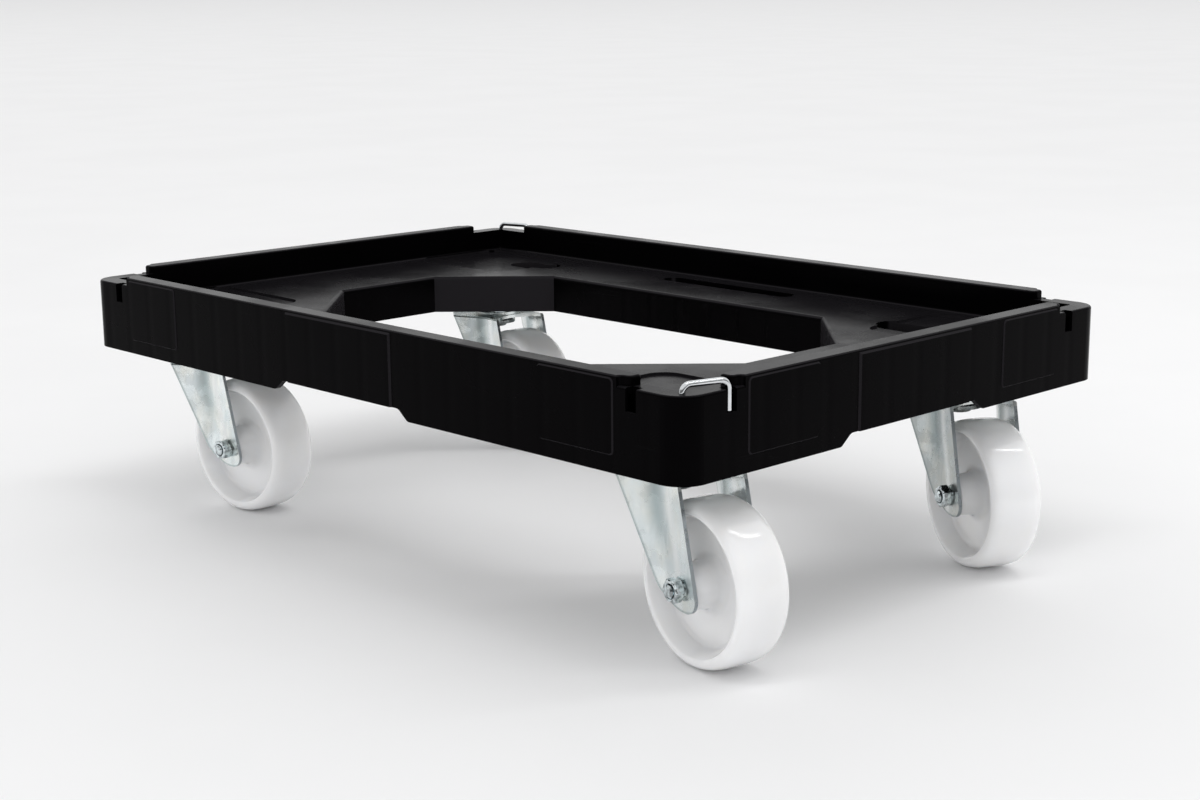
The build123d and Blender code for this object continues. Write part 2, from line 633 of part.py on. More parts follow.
def make_wheel():
    """Polyamide wheel: tread with round edges, dished sides, thin web and a long hub."""
    tread = WHEEL_DIAMETER / 2
    half = WHEEL_WIDTH / 2
    mouth = tread - WHEEL_RIM
    web = WHEEL_WEB / 2
    bore = SLEEVE_RADIUS + RUNNING_FIT
    upper = [
        (bore, HUB_HALF), (HUB_RADIUS, HUB_HALF), (HUB_RADIUS + WHEEL_DRAFT, web),
        (mouth - 2 * WHEEL_DRAFT, web), (mouth, half), (tread, half),
    ]
    outline = make_face(Polyline(*upper, *[(r, -y) for r, y in reversed(upper)], close=True))
    tread_corners = [v for v in outline.vertices() if v.X > tread - FIT]
    outline = fillet(tread_corners, WHEEL_EDGE_RADIUS)
    inner = [v for v in outline.vertices() if abs(abs(v.Y) - web) < FIT]
    outline = fillet(inner, web)
    wheel = revolve(Plane.XZ * outline, Axis.Z)
    return on_axle(wheel)


def make_axle_sleeve():
    """Steel tube clamped between the fork legs, which the wheel turns on."""
    ring = Circle(SLEEVE_RADIUS) - Circle(SCREW_RADIUS + FIT)
    return on_axle(prism(ring, -FORK_INNER, FORK_INNER))


def hexagon():
    """Plan of a hexagon head or nut."""
    return RegularPolygon(HEX_ACROSS_FLATS / 2, 6, major_radius=False)


def hex_head(low, high):
    """Hexagon head with its outer corners turned off."""
    head = prism(hexagon(), low, high)
    circle = HEX_ACROSS_FLATS / 2
    cone_height = high - low
    cone = at_height(Cone(circle + 2 * cone_height, circle, cone_height), (low + high) / 2)
    return head & cone


def make_axle_bolt():
    """Axle bolt: hexagon head against one leg, shank through both and past the nut."""
    shank = prism(Circle(SCREW_RADIUS), -FORK_OUTER - NUT_HEIGHT - BOLT_PROUD, FORK_OUTER)
    shank = chamfer(shank.edges().sort_by(Axis.Z)[:1], BOLT_CHAMFER)
    return on_axle(shank + hex_head(FORK_OUTER, FORK_OUTER + HEX_HEAD))


def make_axle_nut():
    """Locking nut: hexagon with a round collar at its outer end."""
    flat = NUT_HEIGHT - NUT_COLLAR
    nut = prism(hexagon(), FORK_OUTER, FORK_OUTER + flat)
    collar = prism(Circle(HEX_ACROSS_FLATS / 2 - FIT), FORK_OUTER + flat, FORK_OUTER + NUT_HEIGHT)
    collar = fillet(collar.edges().sort_by(Axis.Z)[-1:], NUT_COLLAR / 2)
    nut = nut + collar
    nut -= prism(Circle(SCREW_RADIUS + FIT), 0, 2 * FORK_OUTER + NUT_HEIGHT)
    return on_axle(Rot(180, 0, 0) * nut)


def make_plate_screws():
    """Four hexagon screws from below, through the plate into the bosses."""
    head = hex_head(0, HEX_HEAD)
    shank = prism(Circle(SCREW_RADIUS), -PLATE_SCREW_LENGTH, 0)
    screw = Pos(0, 0, PLATE_UNDER) * Rot(180, 0, 0) * (head + shank)
    return Compound(children=[Pos(x, y) * screw for x, y in screw_places()])


def save(shape, name):
    """Write one piece to its own file."""
    export_step(shape, f"parts/{name}.step")


def main():
    os.makedirs("parts", exist_ok=True)
    save(make_deck_frame(), "deck_frame")
    for corner, (x, y, turn, reach) in hook_places().items():
        place = Pos(x, y, 0) * Rot(0, 0, turn)
        save(place * make_hook(reach), f"coupling_hook_{corner}")
        save(place * make_retainer(), f"hook_retainer_{corner}")
    upper_balls = make_balls(UPPER_BALL_COUNT, UPPER_BALL_PITCH, UPPER_BALL_RADIUS, UPPER_BALL_HEIGHT)
    lower_balls = make_balls(LOWER_BALL_COUNT, LOWER_BALL_PITCH, LOWER_BALL_RADIUS, LOWER_BALL_HEIGHT)
    fixed = {
        "castor_plate": make_plate(),
        "plate_screws": make_plate_screws(),
        "kingpin": make_kingpin(),
        "lower_race": make_lower_race(),
    }
    swivelling = {
        "upper_balls": upper_balls,
        "lower_balls": lower_balls,
        "castor_fork": make_fork(),
        "castor_wheel": make_wheel(),
        "axle_sleeve": make_axle_sleeve(),
        "axle_bolt": make_axle_bolt(),
        "axle_nut": make_axle_nut(),
    }
    for corner, (sx, sy, trail_angle) in CASTORS.items():
        axis = Pos(sx * CASTOR_X, sy * CASTOR_Y, 0)
        for name, shape in fixed.items():
            save(axis * shape, f"{name}_{corner}")
        for name, shape in swivelling.items():
            save(axis * Rot(0, 0, trail_angle) * shape, f"{name}_{corner}")


main()
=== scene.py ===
"""Looks of a platform dolly: turned wheels, axle fasteners, bent wire hooks, finishes and a studio stage.

Metres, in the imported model's frame: floor at z = 0 under the middle of the frame, X along the long side.
"""
import json
import math

import bmesh
import bpy
import numpy as np
from bpy.props import FloatProperty, FloatVectorProperty, IntProperty, PointerProperty
from mathutils import Matrix


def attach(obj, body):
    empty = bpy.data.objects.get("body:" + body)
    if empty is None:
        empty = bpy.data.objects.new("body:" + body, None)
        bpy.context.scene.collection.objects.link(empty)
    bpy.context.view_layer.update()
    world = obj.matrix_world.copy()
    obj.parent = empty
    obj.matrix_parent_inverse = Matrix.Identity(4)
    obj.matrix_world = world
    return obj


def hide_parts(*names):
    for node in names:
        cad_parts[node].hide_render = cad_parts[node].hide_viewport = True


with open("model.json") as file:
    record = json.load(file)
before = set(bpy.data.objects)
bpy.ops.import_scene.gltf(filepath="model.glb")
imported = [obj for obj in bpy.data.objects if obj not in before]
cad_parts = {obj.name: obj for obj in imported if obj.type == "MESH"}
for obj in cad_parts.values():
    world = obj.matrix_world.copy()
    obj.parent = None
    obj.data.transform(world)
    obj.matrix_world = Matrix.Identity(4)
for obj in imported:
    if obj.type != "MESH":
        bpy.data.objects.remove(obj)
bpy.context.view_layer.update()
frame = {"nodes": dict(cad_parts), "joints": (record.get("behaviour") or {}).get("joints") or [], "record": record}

bl_info = {
    "name": "Platform dolly",
    "version": (1, 0, 0),
    "blender": (4, 5, 0),
    "location": "View3D > Sidebar > Dolly",
    "description": "Wheels, axle fasteners, wire hooks, finishes and stage for a platform dolly",
    "category": "Object",
}

DECK_TOP = next(mount["pos_m"][2] for mount in frame["record"]["mounts"] if mount["name"] == "load_deck")

# Like pieces, and where they differ: each nut's turn in degrees, each fork's plating made lighter or darker as
# painted light for how lit its corner is, and painted shade on the kingpins and races
CASTORS = ("front_right", "back_right", "front_left", "back_left")
HOOKS = ("front_right", "back_left")
NUT_TURNS = {"front_right": 30.0, "back_right": 0.0, "front_left": 18.0, "back_left": 44.0}
FORK_PAINTED_LIGHT = {"front_right": 1.05, "back_right": 0.82, "front_left": 1.2, "back_left": 0.95}
# Painted shade on the kingpins and lower races.
PIVOT_SHADE = 0.45

# Shapes: shares, small rounds, set-backs, points along a stretch, and how a mesh is closed and smoothed
FULL_TURN = 2 * math.pi
UP = np.array([0.0, 0.0, 1.0])
RIM_SHARE = 0.84
LIP_RISE = 1.1
HUB_EDGE_RADIUS = 0.0008
NUT_FACE_SHARE = 0.93
NUT_EDGE_RADIUS = 0.0001
HEAD_FACE_INSET = 0.0002
TIP_INSET = 0.0003
BEND_STEPS = 12
NUT_EDGE_STEPS = 4
TREAD_STEPS = 40
SHANK_ROWS = 6
THREAD_ROWS = 64
MERGE_DISTANCE = 1e-6
SHARP = math.radians(32)

# Moulding: sinks over ribs, corner posts, pad pockets, and the parts of a normal that tell faces apart
RIB_PITCH = 0.028
SINK_HALF_WIDTH = 0.006
SINK_DEPTH = 0.00009
POST_START = 0.0142
POST_FADE = 0.003
POCKET_DEPTH = 0.009
POCKET_REACH = 0.055
POCKET_MARGIN = 0.0002
FACES_X = 0.7
FACES_SIDEWAYS = 0.8
FACES_UP = (0.5, 0.9)
UPRIGHT = 0.2
SLOPING = (0.75, 0.9)

# Plating: how strongly its streaks, specks, painted shade in folds, painted highlight on ridges and darker rear
# edges show, and where these fade out
STREAKS = 0.3
SPECKS = 0.22
FOLD_SHADE = 0.8
FOLD_FADE_FOOT = 0.005
FOLD_FADE_CROWN = 0.015
RIDGE_HIGHLIGHT = 0.7
REAR_EDGE_DARK = 0.65
REAR_EDGE_CORE = 0.3
CUT_FACING = (0.3, 0.6)
CROWN_MARGIN = 0.001

# Finishes: depth of the grain, how far roughness falls and rises (on steel a share of it), shares of a tint
PLASTIC_GRAIN, PLASTIC_GLOSS, PLASTIC_PATCHES = 0.00003, (0.05, 0.06), 1.25
ZINC_GRAIN, ZINC_GLOSS = 0.00006, (0.07, 0.07)
STEEL_GRAIN, STEEL_GLOSS, STEEL_PATCHES, NUT_PATCHES = 0.00002, (0.2, 0.3), 0.86, 0.35
NYLON_GRAIN, NYLON_GLOSS, NYLON_RUBBED = 0.00001, (0.03, 0.04), 0.72
FLOOR_PATCHES = 0.985

# Shared effects: the noise between which each mask rises, and how fine and coarse grain are mixed
GRAIN_MASK = (0.35, 0.65)
CLOUD_MASK = (0.36, 0.66)
LINE_MASK = (0.62, 0.72)
RUB_MASK = (0.5, 0.7)
COARSE_SCALE = 0.13
FINE_SHARE = 0.6

# Room: where its tones change, by how far a direction faces the camera's side and how high it points
DIM_FACING = (-0.35, 0.25)
DIM_HEIGHT = (0.3, 0.55)
BACK_FACING = (-0.85, -0.45)
CEILING_START = 0.7
WHITE = (1.0, 1.0, 1.0, 1.0)

# Kinds of group sockets, and numbers of a Mix node's two inputs and its output, whose names repeat
VECTOR, VALUE, TINT = "NodeSocketVector", "NodeSocketFloat", "NodeSocketColor"
MIX_COLOURS = (6, 7, 2)
MIX_VALUES = (2, 3, 0)


def unit(vectors):
    """The same directions with a length of one."""
    return vectors / np.linalg.norm(vectors, axis=-1, keepdims=True)


def node_points(name):
    """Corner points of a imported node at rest, one row each."""
    mesh = frame["nodes"][name].data
    points = np.empty(3 * len(mesh.vertices), np.float32)
    mesh.vertices.foreach_get("co", points)
    return points.reshape(-1, 3).astype(float)


def joint_line(name):
    """A joint's centre and unit axis."""
    joint = next(entry for entry in frame["joints"] if entry["name"] == name)
    return np.array(joint["pos_m"], float), unit(np.array(joint["axis"], float))


def around_axle(node, joint):
    """How far each point of a node lies along a joint's axis, and how far from it."""
    centre, axis = joint_line(joint)
    offset = node_points(node) - centre
    along = offset @ axis
    return along, np.linalg.norm(offset - np.outer(along, axis), axis=1)


WHEEL_ALONG, WHEEL_REACH = around_axle("castor_wheel_front_right", "spin_front_right")
NUT_ALONG, _ = around_axle("axle_nut_front_right", "spin_front_right")
BOLT_ALONG, _ = around_axle("axle_bolt_front_right", "spin_front_right")
RIM_ALONG = WHEEL_ALONG[WHEEL_REACH > RIM_SHARE * WHEEL_REACH.max()]


def size(label, text, value):
    """A length that a user can change, in metres."""
    return FloatProperty(name=label, description=text, default=float(value), unit="LENGTH", precision=5)


def degrees(label, text, value):
    """An angle that a user can change, given in degrees."""
    return FloatProperty(name=label, description=text, default=math.radians(value), subtype="ANGLE")


def colour(label, text, value):
    """A linear colour that a user can change."""
    return FloatVectorProperty(
        name=label, description=text, default=value, size=3, min=0.0, max=1.0, subtype="COLOR"
    )


def share(label, text, value):
    """A factor between nothing and all that a user can change."""
    return FloatProperty(name=label, description=text, default=value, min=0.0, max=1.0, subtype="FACTOR")


def light(label, text, value, kind="NONE"):
    """A strength of light that a user can change, as a plain factor or as a lamp's power."""
    return FloatProperty(name=label, description=text, default=value, min=0.0, unit=kind)


def facets(text, value, least):
    """How many facets go round a piece."""
    return IntProperty(name="Segments", description=text, default=value, min=least)


class DollyWheelShape(bpy.types.PropertyGroup):
    """Sizes of the turned polyamide wheels."""

    tread_radius: size("Tread radius", "Rolling radius of the wheel", WHEEL_REACH.max())
    half_width: size("Half width", "Half the width across the tread", np.abs(RIM_ALONG).max())
    hub_half: size("Hub half length", "Half the length of the hub", WHEEL_ALONG.max())
    bore_radius: size("Bore radius", "Radius of the hole for the sleeve", WHEEL_REACH.min())
    hub_radius: size("Hub radius", "Outer radius of the hub", 0.013)
    rim: size("Rim", "Thickness of the rim under the tread", 0.0075)
    web: size("Web", "Thickness of the web between hub and rim", 0.008)
    draft: size("Draft", "How far the dished walls lean from mouth to web", 0.002)
    lip_radius: size("Lip radius", "Round of the dish's mouth", 0.0016)
    hub_fillet: size("Hub fillet", "Round between web and hub", 0.006)
    dish_radius: size("Dish radius", "Round between web and rim", 0.0038)
    tread_power: FloatProperty(
        name="Tread power", description="Flatness of the tread: 2 is an ellipse, more is flatter",
        default=3.8, min=2.0,
    )
    segments: facets("Facets round the wheel", 160, 24)


class DollyFastenerShape(bpy.types.PropertyGroup):
    """Sizes of the axle bolts and locking nuts."""

    across_flats: size("Across flats", "Width of hexagons between flats", 0.013)
    thread_radius: size("Thread radius", "Outer radius of the thread", 0.004)
    thread_pitch: size("Thread pitch", "Rise of the thread in a turn", 0.00125)
    thread_depth: size("Thread depth", "Depth of the thread", 0.00068)
    nut_low: size("Nut start", "Where the nut meets the fork leg, from the wheel's middle", -NUT_ALONG.max())
    nut_high: size("Nut end", "Outer end of the nut, from the wheel's middle", -NUT_ALONG.min())
    nut_seat: size("Nut seat", "Height and set-back of the round seat under the nut", 0.0009)
    nut_mouth: size("Nut mouth", "How much wider the nut's countersunk mouth is than its thread", 0.0007)
    head_low: size("Head start", "Where the head meets the fork leg", -NUT_ALONG.max())
    head_high: size("Head end", "Outer end of the bolt's head", BOLT_ALONG.max())
    tip: size("Tip", "Outer end of the bolt, past the nut", -BOLT_ALONG.min())
    segments: facets("Facets round a fastener", 96, 24)


class DollyForkShape(bpy.types.PropertyGroup):
    """Where the pressed forks are folded and cut, for the painted shade in their folds, the painted highlight on
    their ridges and the darker band on their rear edges.
    """

    fold_top: size("Fold, top", "How far the fold lies behind the kingpin at the crown", 0.013)
    fold_foot: size("Fold, foot", "How far the fold lies behind the kingpin at the axle", 0.0235)
    # Painted shade: the fold is darkened for the shade in its hollow, and the ridge behind it is lightened as a
    # painted highlight.
    fold_width: size("Fold width", "Half the width of the darker plating in the fold", 0.010)
    ridge_offset: size("Ridge", "How far the lighter ridge lies behind the fold", 0.011)
    ridge_width: size("Ridge width", "Half the width of the lighter ridge", 0.005)
    crown_under: size("Crown", "Height of the crown's underside", 0.108)
    crown_top: size("Crown top", "Height of the crown's top", 0.1105)
    heel_top: size("Heel, top", "How far the legs' rear edge lies behind the kingpin at the crown", -0.012)
    heel_foot: size("Heel, foot", "How far the legs' rear edge lies behind the kingpin at the axle", 0.017)
    heel_radius: size("Heel radius", "Round between the legs' rear edge and their foot", 0.026)
    foot_under: size("Foot", "Height of the legs' lower end", 0.037)
    # A darker band of colour along the rear edge.
    edge_width: size("Edge width", "Width of the thin plating along the rear edge", 0.0019)


class DollyHookShape(bpy.types.PropertyGroup):
    """Sizes of the bent wire hooks."""

    wire_radius: size("Wire radius", "Half the wire's thickness", 0.0018)
    bend_radius: size("Bend radius", "Radius of the bends at the middle of the wire", 0.005)
    cut_bevel: size("Cut bevel", "Bevel where the wire is cut off", 0.0004)
    segments: facets("Facets round the wire", 32, 8)


class DollyFinishes(bpy.types.PropertyGroup):
    """Colours and roughnesses of the dolly's materials."""

    plastic: colour("Moulding", "Black of the moulded frame", (0.0008, 0.0007, 0.00085))
    plastic_worn: colour("Moulding, worn", "Grey of rubbed plastic", (0.004, 0.0038, 0.0043))
    # Painted sheen: top faces get a lighter colour for the light they catch.
    plastic_sheen: colour("Moulding, dusty", "Top faces under a little dust", (0.0080, 0.0074, 0.0086))
    # Painted highlight on sloping edges and painted light on the shaded walls of the pad pockets.
    plastic_painted_light: colour("Moulding, scuffed", "Scuffed edges and pockets", (0.014, 0.013, 0.0147))
    plastic_roughness: share("Moulding roughness", "Roughness of the moulded faces", 0.24)
    zinc: colour("Zinc", "Blue white zinc plating", (0.75, 0.80, 0.81))
    zinc_straw: colour("Zinc, straw", "Straw tint that the plating takes on in patches", (0.80, 0.81, 0.77))
    # Also the painted shade in the forks' folds, besides the dark streaks, specks and rubs.
    zinc_dark: colour("Zinc, dark", "Greenish grey of thin plating in folds", (0.31, 0.37, 0.375))
    # Painted highlight: a lighter plating colour on the ridge beside each fold.
    zinc_highlight: colour("Zinc, light", "Thicker plating on the ridges beside the folds", (0.84, 0.86, 0.855))
    cut_edge: colour("Cut edges", "Bare steel at the pressings' cut edges", (0.42, 0.46, 0.48))
    zinc_roughness: share("Zinc roughness", "Roughness of plated pressings", 0.27)
    bolt: colour("Fasteners", "Plating of bolts and nuts", (0.80, 0.87, 0.89))
    bolt_roughness: share("Fastener roughness", "Roughness of bolts and nuts", 0.07)
    wire: colour("Wire", "Bright plating of the hooks", (0.76, 0.78, 0.80))
    wire_roughness: share("Wire roughness", "Roughness of the hooks", 0.05)
    bearing: colour("Bearing balls", "Polished steel", (0.62, 0.62, 0.63))
    bearing_roughness: share("Bearing roughness", "Roughness of the balls", 0.1)
    nylon: colour("Wheels", "White polyamide", (0.785, 0.788, 0.797))
    nylon_shade: colour("Wheels, cloudy", "Greyer patches of the polyamide", (0.772, 0.772, 0.774))
    nylon_roughness: share("Wheel roughness", "Roughness of the wheels", 0.11)


class DollyStage(bpy.types.PropertyGroup):
    """Camera, floor and light."""

    lens: FloatProperty(
        name="Lens", description="Focal length on a 36 mm sensor", default=57.8, unit="CAMERA"
    )
    camera_place: FloatVectorProperty(
        name="Camera place", description="Where the camera stands", default=(0.9887, -0.9289, 0.3916),
        unit="LENGTH",
    )
    azimuth: degrees("Azimuth", "Camera's turn about Z from the front", 45.88)
    elevation: degrees("Elevation", "How far the camera looks down", 12.47)
    roll: degrees("Roll", "Camera's tilt", -0.49)
    floor: colour("Floor", "Pale floor", (0.87, 0.87, 0.875))
    wall: colour("Wall", "Far wall as the camera sees it", (0.86, 0.865, 0.865))
    floor_reach: size("Floor reach", "Half the floor's side", 150.0)
    room_low: light("Low room light", "Strength of the white room's walls", 1.65)
    room_high: light("High room light", "Strength of the white room's ceiling", 0.62)
    room_back: light("Back wall", "How bright mirrors see the back of the room", 1.3)
    room_glow: light("Back glow", "How much more light the room's back gives", 1.7)
    room_dim: share("Dim side", "How bright mirrors see the room behind the camera", 0.2)
    key_power: light("Key light", "Power of the far key light", 3400.0, "POWER")
    key_length: size("Key length", "Length of the key light, level with the picture", 46.0)
    key_width: size("Key width", "Width of the key light", 3.6)
    key_distance: size("Key distance", "How far off the key light is", 40.0)
    key_lean: degrees("Key lean", "How far the key light leans from overhead to the camera", 19.3)
    strip_power: light("Strip light", "Power of the strip light", 7.0, "POWER")
    strip_length: size("Strip length", "Length of the strip light", 2.1)
    strip_width: size("Strip width", "Width of the strip light", 0.12)
    strip_height: size("Strip height", "Height of the strip light", 2.1)
    strip_right: size("Strip, right", "How far right of the object the strip light's middle is", 0.92)
    strip_front: size("Strip, front", "How far in front of the object the strip light's middle is", 0.3)
    strip_turn: degrees("Strip turn", "Turn of the strip light's right end away from the camera", 17)


def corner_arcs(corner, before, after, radii, steps):
    """Arcs that round corners: each touches the two sides of its corner, which lead to before and after."""
    back, ahead = unit(before - corner), unit(after - corner)
    half = np.arccos(np.clip((back * ahead).sum(1), -1, 1)) / 2
    centre = corner + unit(back + ahead) * (radii / np.sin(half))[:, None]
    spoke = corner + back * (radii / np.tan(half))[:, None] - centre
    side = np.sign(back[:, 1] * ahead[:, 0] - back[:, 0] * ahead[:, 1])
    angle = (side * (math.pi - 2 * half))[:, None] * np.linspace(0, 1, steps)
    cos, sin = np.cos(angle), np.sin(angle)
    first = centre[:, :1] + cos * spoke[:, :1] - sin * spoke[:, 1:]
    second = centre[:, 1:] + sin * spoke[:, :1] + cos * spoke[:, 1:]
    return np.stack([first, second], axis=2)


def rounded_outline(corners, radius, steps):
    """Closed outline of straight sides with an arc at each corner, as one row per point."""
    corner = np.array(corners, float)
    radii = np.full(len(corner), radius)
    arcs = corner_arcs(corner, np.roll(corner, 1, 0), np.roll(corner, -1, 0), radii, steps)
    return arcs.reshape(-1, 2)


def rounded_path(corners, radii):
    """Open path of straight runs with an arc at each inner corner."""
    corner = np.array(corners, float)
    arcs = corner_arcs(corner[1:-1], corner[:-2], corner[2:], np.array(radii, float), BEND_STEPS)
    return np.concatenate([corner[:1], arcs.reshape(-1, 2), corner[-1:]])


def around(count):
    """Evenly spaced angles once round."""
    return np.linspace(0, FULL_TURN, count, endpoint=False)


def side_vectors(axis):
    """Two unit vectors square to an axis and to each other, the first one level."""
    level = unit(np.cross(UP, axis))
    return level, np.cross(axis, level)


def turned(along, radius, centre, axis):
    """Turned surface: centre + along * axis + radius * (cos t * first + sin t * second).

    along has one value per row; radius has one value per row and column, and the columns go once round.
    """
    first, second = side_vectors(axis)
    angle = around(radius.shape[1])
    ring = np.cos(angle)[:, None] * first + np.sin(angle)[:, None] * second
    return centre + along[:, None, None] * axis + radius[:, :, None] * ring


def grid_faces(rows, columns, closed_rows):
    """Quads of a grid whose columns close round, and whose rows close too if asked."""
    row = np.arange(rows if closed_rows else rows - 1)[:, None]
    column = np.arange(columns)[None, :]
    next_row = (row + 1) % rows
    next_column = (column + 1) % columns
    corners = (row * columns + column, row * columns + next_column,
               next_row * columns + next_column, next_row * columns + column)
    quads = np.stack([np.broadcast_to(corner, (len(row), columns)) for corner in corners], axis=2)
    return quads.reshape(-1, 4)


def add_object(name, data):
    """Object in the scene, at the origin, from a mesh, a lamp or a camera."""
    added = bpy.data.objects.new(name, data)
    bpy.context.scene.collection.objects.link(added)
    return added


def new_piece(name, grid, closed_rows=False):
    """Piece from a grid of points: poles and seams merged, faces outwards, smooth but for sharp edges."""
    mesh = bpy.data.meshes.new(name)
    faces = grid_faces(*grid.shape[:2], closed_rows)
    mesh.from_pydata(grid.reshape(-1, 3), [], faces)
    work = bmesh.new()
    work.from_mesh(mesh)
    bmesh.ops.remove_doubles(work, verts=work.verts, dist=MERGE_DISTANCE)
    bmesh.ops.dissolve_degenerate(work, dist=MERGE_DISTANCE, edges=work.edges)
    bmesh.ops.recalc_face_normals(work, faces=work.faces)
    work.to_mesh(mesh)
    work.free()
    mesh.shade_smooth()
    mesh.set_sharp_from_angle(angle=SHARP)
    return add_object(name, mesh)


def dress(piece, material, body, node):
    """Give a new piece its finish and its body, and hide the imported node that it stands for."""
    piece.data.materials.append(material)
    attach(piece, body)
    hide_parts(node)


def finish_node(name, material):
    """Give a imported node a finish."""
    materials = frame["nodes"][name].data.materials
    materials.clear()
    materials.append(material)


def wheel_outline(shape):
    """Half section of the wheel in (along, radius): bore, hub, dished sides, lip and rounded tread, closed.

    The tread is a flattened ellipse: along = half * cos(t) ** (2 / power), radius = lip + rise * sin(t).
    """
    tread, half, web = shape.tread_radius, shape.half_width, shape.web / 2
    mouth, fine = tread - shape.rim, HUB_EDGE_RADIUS
    lip = mouth + LIP_RISE * shape.lip_radius
    corners = [
        (0, shape.bore_radius), (shape.hub_half, shape.bore_radius), (shape.hub_half, shape.hub_radius),
        (web, shape.hub_radius + shape.draft), (web, mouth - 2 * shape.draft), (half, mouth), (half, lip),
    ]
    dish = rounded_path(corners, (fine, fine, shape.hub_fillet, shape.dish_radius, shape.lip_radius))
    turn = np.linspace(0, FULL_TURN / 4, TREAD_STEPS)
    along = half * np.clip(np.cos(turn), 0, 1) ** (2 / shape.tread_power)
    side = np.concatenate([dish[:-1], np.column_stack([along, lip + (tread - lip) * np.sin(turn)])])
    return np.concatenate([side, side[-2:0:-1] * (-1, 1)])


def make_wheel(name, shape, centre, axis):
    """Wheel turned from its half section."""
    outline = wheel_outline(shape)
    radius = np.repeat(outline[:, 1:], shape.segments, axis=1)
    return new_piece(name, turned(outline[:, 0], radius, centre, axis), closed_rows=True)


def hexagon_radius(angle, across_flats):
    """Distance from the middle of a hexagon to its edge in each direction."""
    sixth = FULL_TURN / 6
    return across_flats / 2 / np.cos((angle + sixth / 2) % sixth - sixth / 2)


def make_nut(name, shape, centre, axis, turn):
    """Hexagon nut: a turned blank with coned ends and a countersunk mouth.

    Its radius is the lesser of the blank's and the hexagon's in each direction.
    """
    low, high = shape.nut_low, shape.nut_high
    flat, corner = shape.across_flats / 2, shape.across_flats / math.sqrt(3)
    bore, mouth = shape.thread_radius, shape.thread_radius + shape.nut_mouth
    face = NUT_FACE_SHARE * flat
    seat = low + shape.nut_seat
    blank = [
        (low, bore), (low, flat - shape.nut_seat), (seat, flat - shape.nut_seat),
        (seat + (corner - flat) / 2, corner), (high - (corner - face) / 2, corner),
        (high, face), (high, mouth), (high - 2 * shape.nut_mouth, bore),
    ]
    outline = rounded_outline(blank, NUT_EDGE_RADIUS, NUT_EDGE_STEPS)
    radius = np.minimum(outline[:, 1:], hexagon_radius(around(shape.segments) + turn, shape.across_flats))
    return new_piece(name, turned(outline[:, 0], radius, centre, axis), closed_rows=True)


def make_bolt(name, shape, centre, axis):
    """Axle bolt: a turned blank, its head cut to a hexagon, with a helical groove near its tip.

    The groove's depth is a triangle wave of along / pitch - t / full turn.
    """
    flat, corner = shape.across_flats / 2, shape.across_flats / math.sqrt(3)
    bevel = (corner - flat) / math.sqrt(3)
    head = [
        (shape.head_high, 0), (shape.head_high, flat - HEAD_FACE_INSET), (shape.head_high - bevel, corner),
        (shape.head_low, corner), (shape.head_low, shape.thread_radius),
    ]
    shank = np.linspace(shape.head_low, -shape.nut_high, SHANK_ROWS)[1:-1]
    thread = np.linspace(-shape.nut_high, -shape.tip + shape.thread_depth, THREAD_ROWS)
    stem = np.concatenate([shank, thread])
    tip = [(-shape.tip, shape.thread_radius - shape.thread_depth - TIP_INSET), (-shape.tip, 0)]
    blank = np.concatenate([head, np.column_stack([stem, np.full(len(stem), shape.thread_radius)]), tip])
    along, angle = blank[:, :1], around(shape.segments)
    wave = np.abs(2 * ((along / shape.thread_pitch - angle / FULL_TURN) % 1) - 1)
    threaded = (along <= -shape.nut_high) & (along > -shape.tip)
    radius = np.minimum(blank[:, 1:], hexagon_radius(angle, shape.across_flats))
    radius -= threaded * shape.thread_depth * wave
    return new_piece(name, turned(blank[:, 0], radius, centre, axis))


def hook_path(node, shape, centre):
    """Middle line of a hook in its own upright plane, and that plane's level direction.

    The shank stands on the swing axis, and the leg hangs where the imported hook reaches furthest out.
    """
    points = node_points(node)
    level = points[:, :2] - centre[:2]
    distance = np.linalg.norm(level, axis=1)
    reach = distance.max() - shape.wire_radius
    leg = distance > reach - shape.wire_radius
    run = points[:, 2].max() - shape.wire_radius
    corners = [(0, points[:, 2].min()), (0, run), (reach, run), (reach, points[leg, 2].min())]
    path = rounded_path(corners, (shape.bend_radius, shape.bend_radius))
    return path, np.append(unit(level[leg].mean(0)), 0.0)


def make_hook(name, node, shape, centre):
    """Round wire along the hook's path, bevelled at its ends.

    Its surface is path + radius * (cos t * normal + sin t * side).
    """
    path, outward = hook_path(node, shape, centre)
    tangent = unit(np.gradient(path, axis=0))
    bevel = shape.cut_bevel
    start, end = path[:1], path[-1:]
    path = np.concatenate([start, start, start + bevel * tangent[:1], path[1:-1],
                           end - bevel * tangent[-1:], end, end])
    tangent = np.concatenate([tangent[:1].repeat(3, 0), tangent[1:-1], tangent[-1:].repeat(3, 0)])
    radius = np.full(len(path), shape.wire_radius)
    radius[[1, -2]] -= bevel
    radius[[0, -1]] = 0
    side = np.cross(outward, UP)
    normal = tangent[:, 1:] * outward - tangent[:, :1] * UP
    middle = np.append(centre[:2], 0.0) + path[:, :1] * outward + path[:, 1:] * UP
    angle = around(shape.segments)
    ring = np.cos(angle)[:, None] * normal[:, None] + np.sin(angle)[:, None] * side
    return new_piece(name, middle[:, None] + radius[:, None, None] * ring)


def link(source, target):
    """Feed one socket from another."""
    source.id_data.links.new(source, target)


def place(kind, inputs, **options):
    """Add a node beside those that feed it: its options, then its inputs by name or number."""
    feeds = {key: value for key, value in inputs.items() if isinstance(value, bpy.types.NodeSocket)}
    node = next(iter(feeds.values())).id_data.nodes.new(kind)
    for option, value in options.items():
        setattr(node, option, value)
    for key, value in inputs.items():
        if key in feeds:
            link(value, node.inputs[key])
        else:
            node.inputs[key].default_value = value
    return node


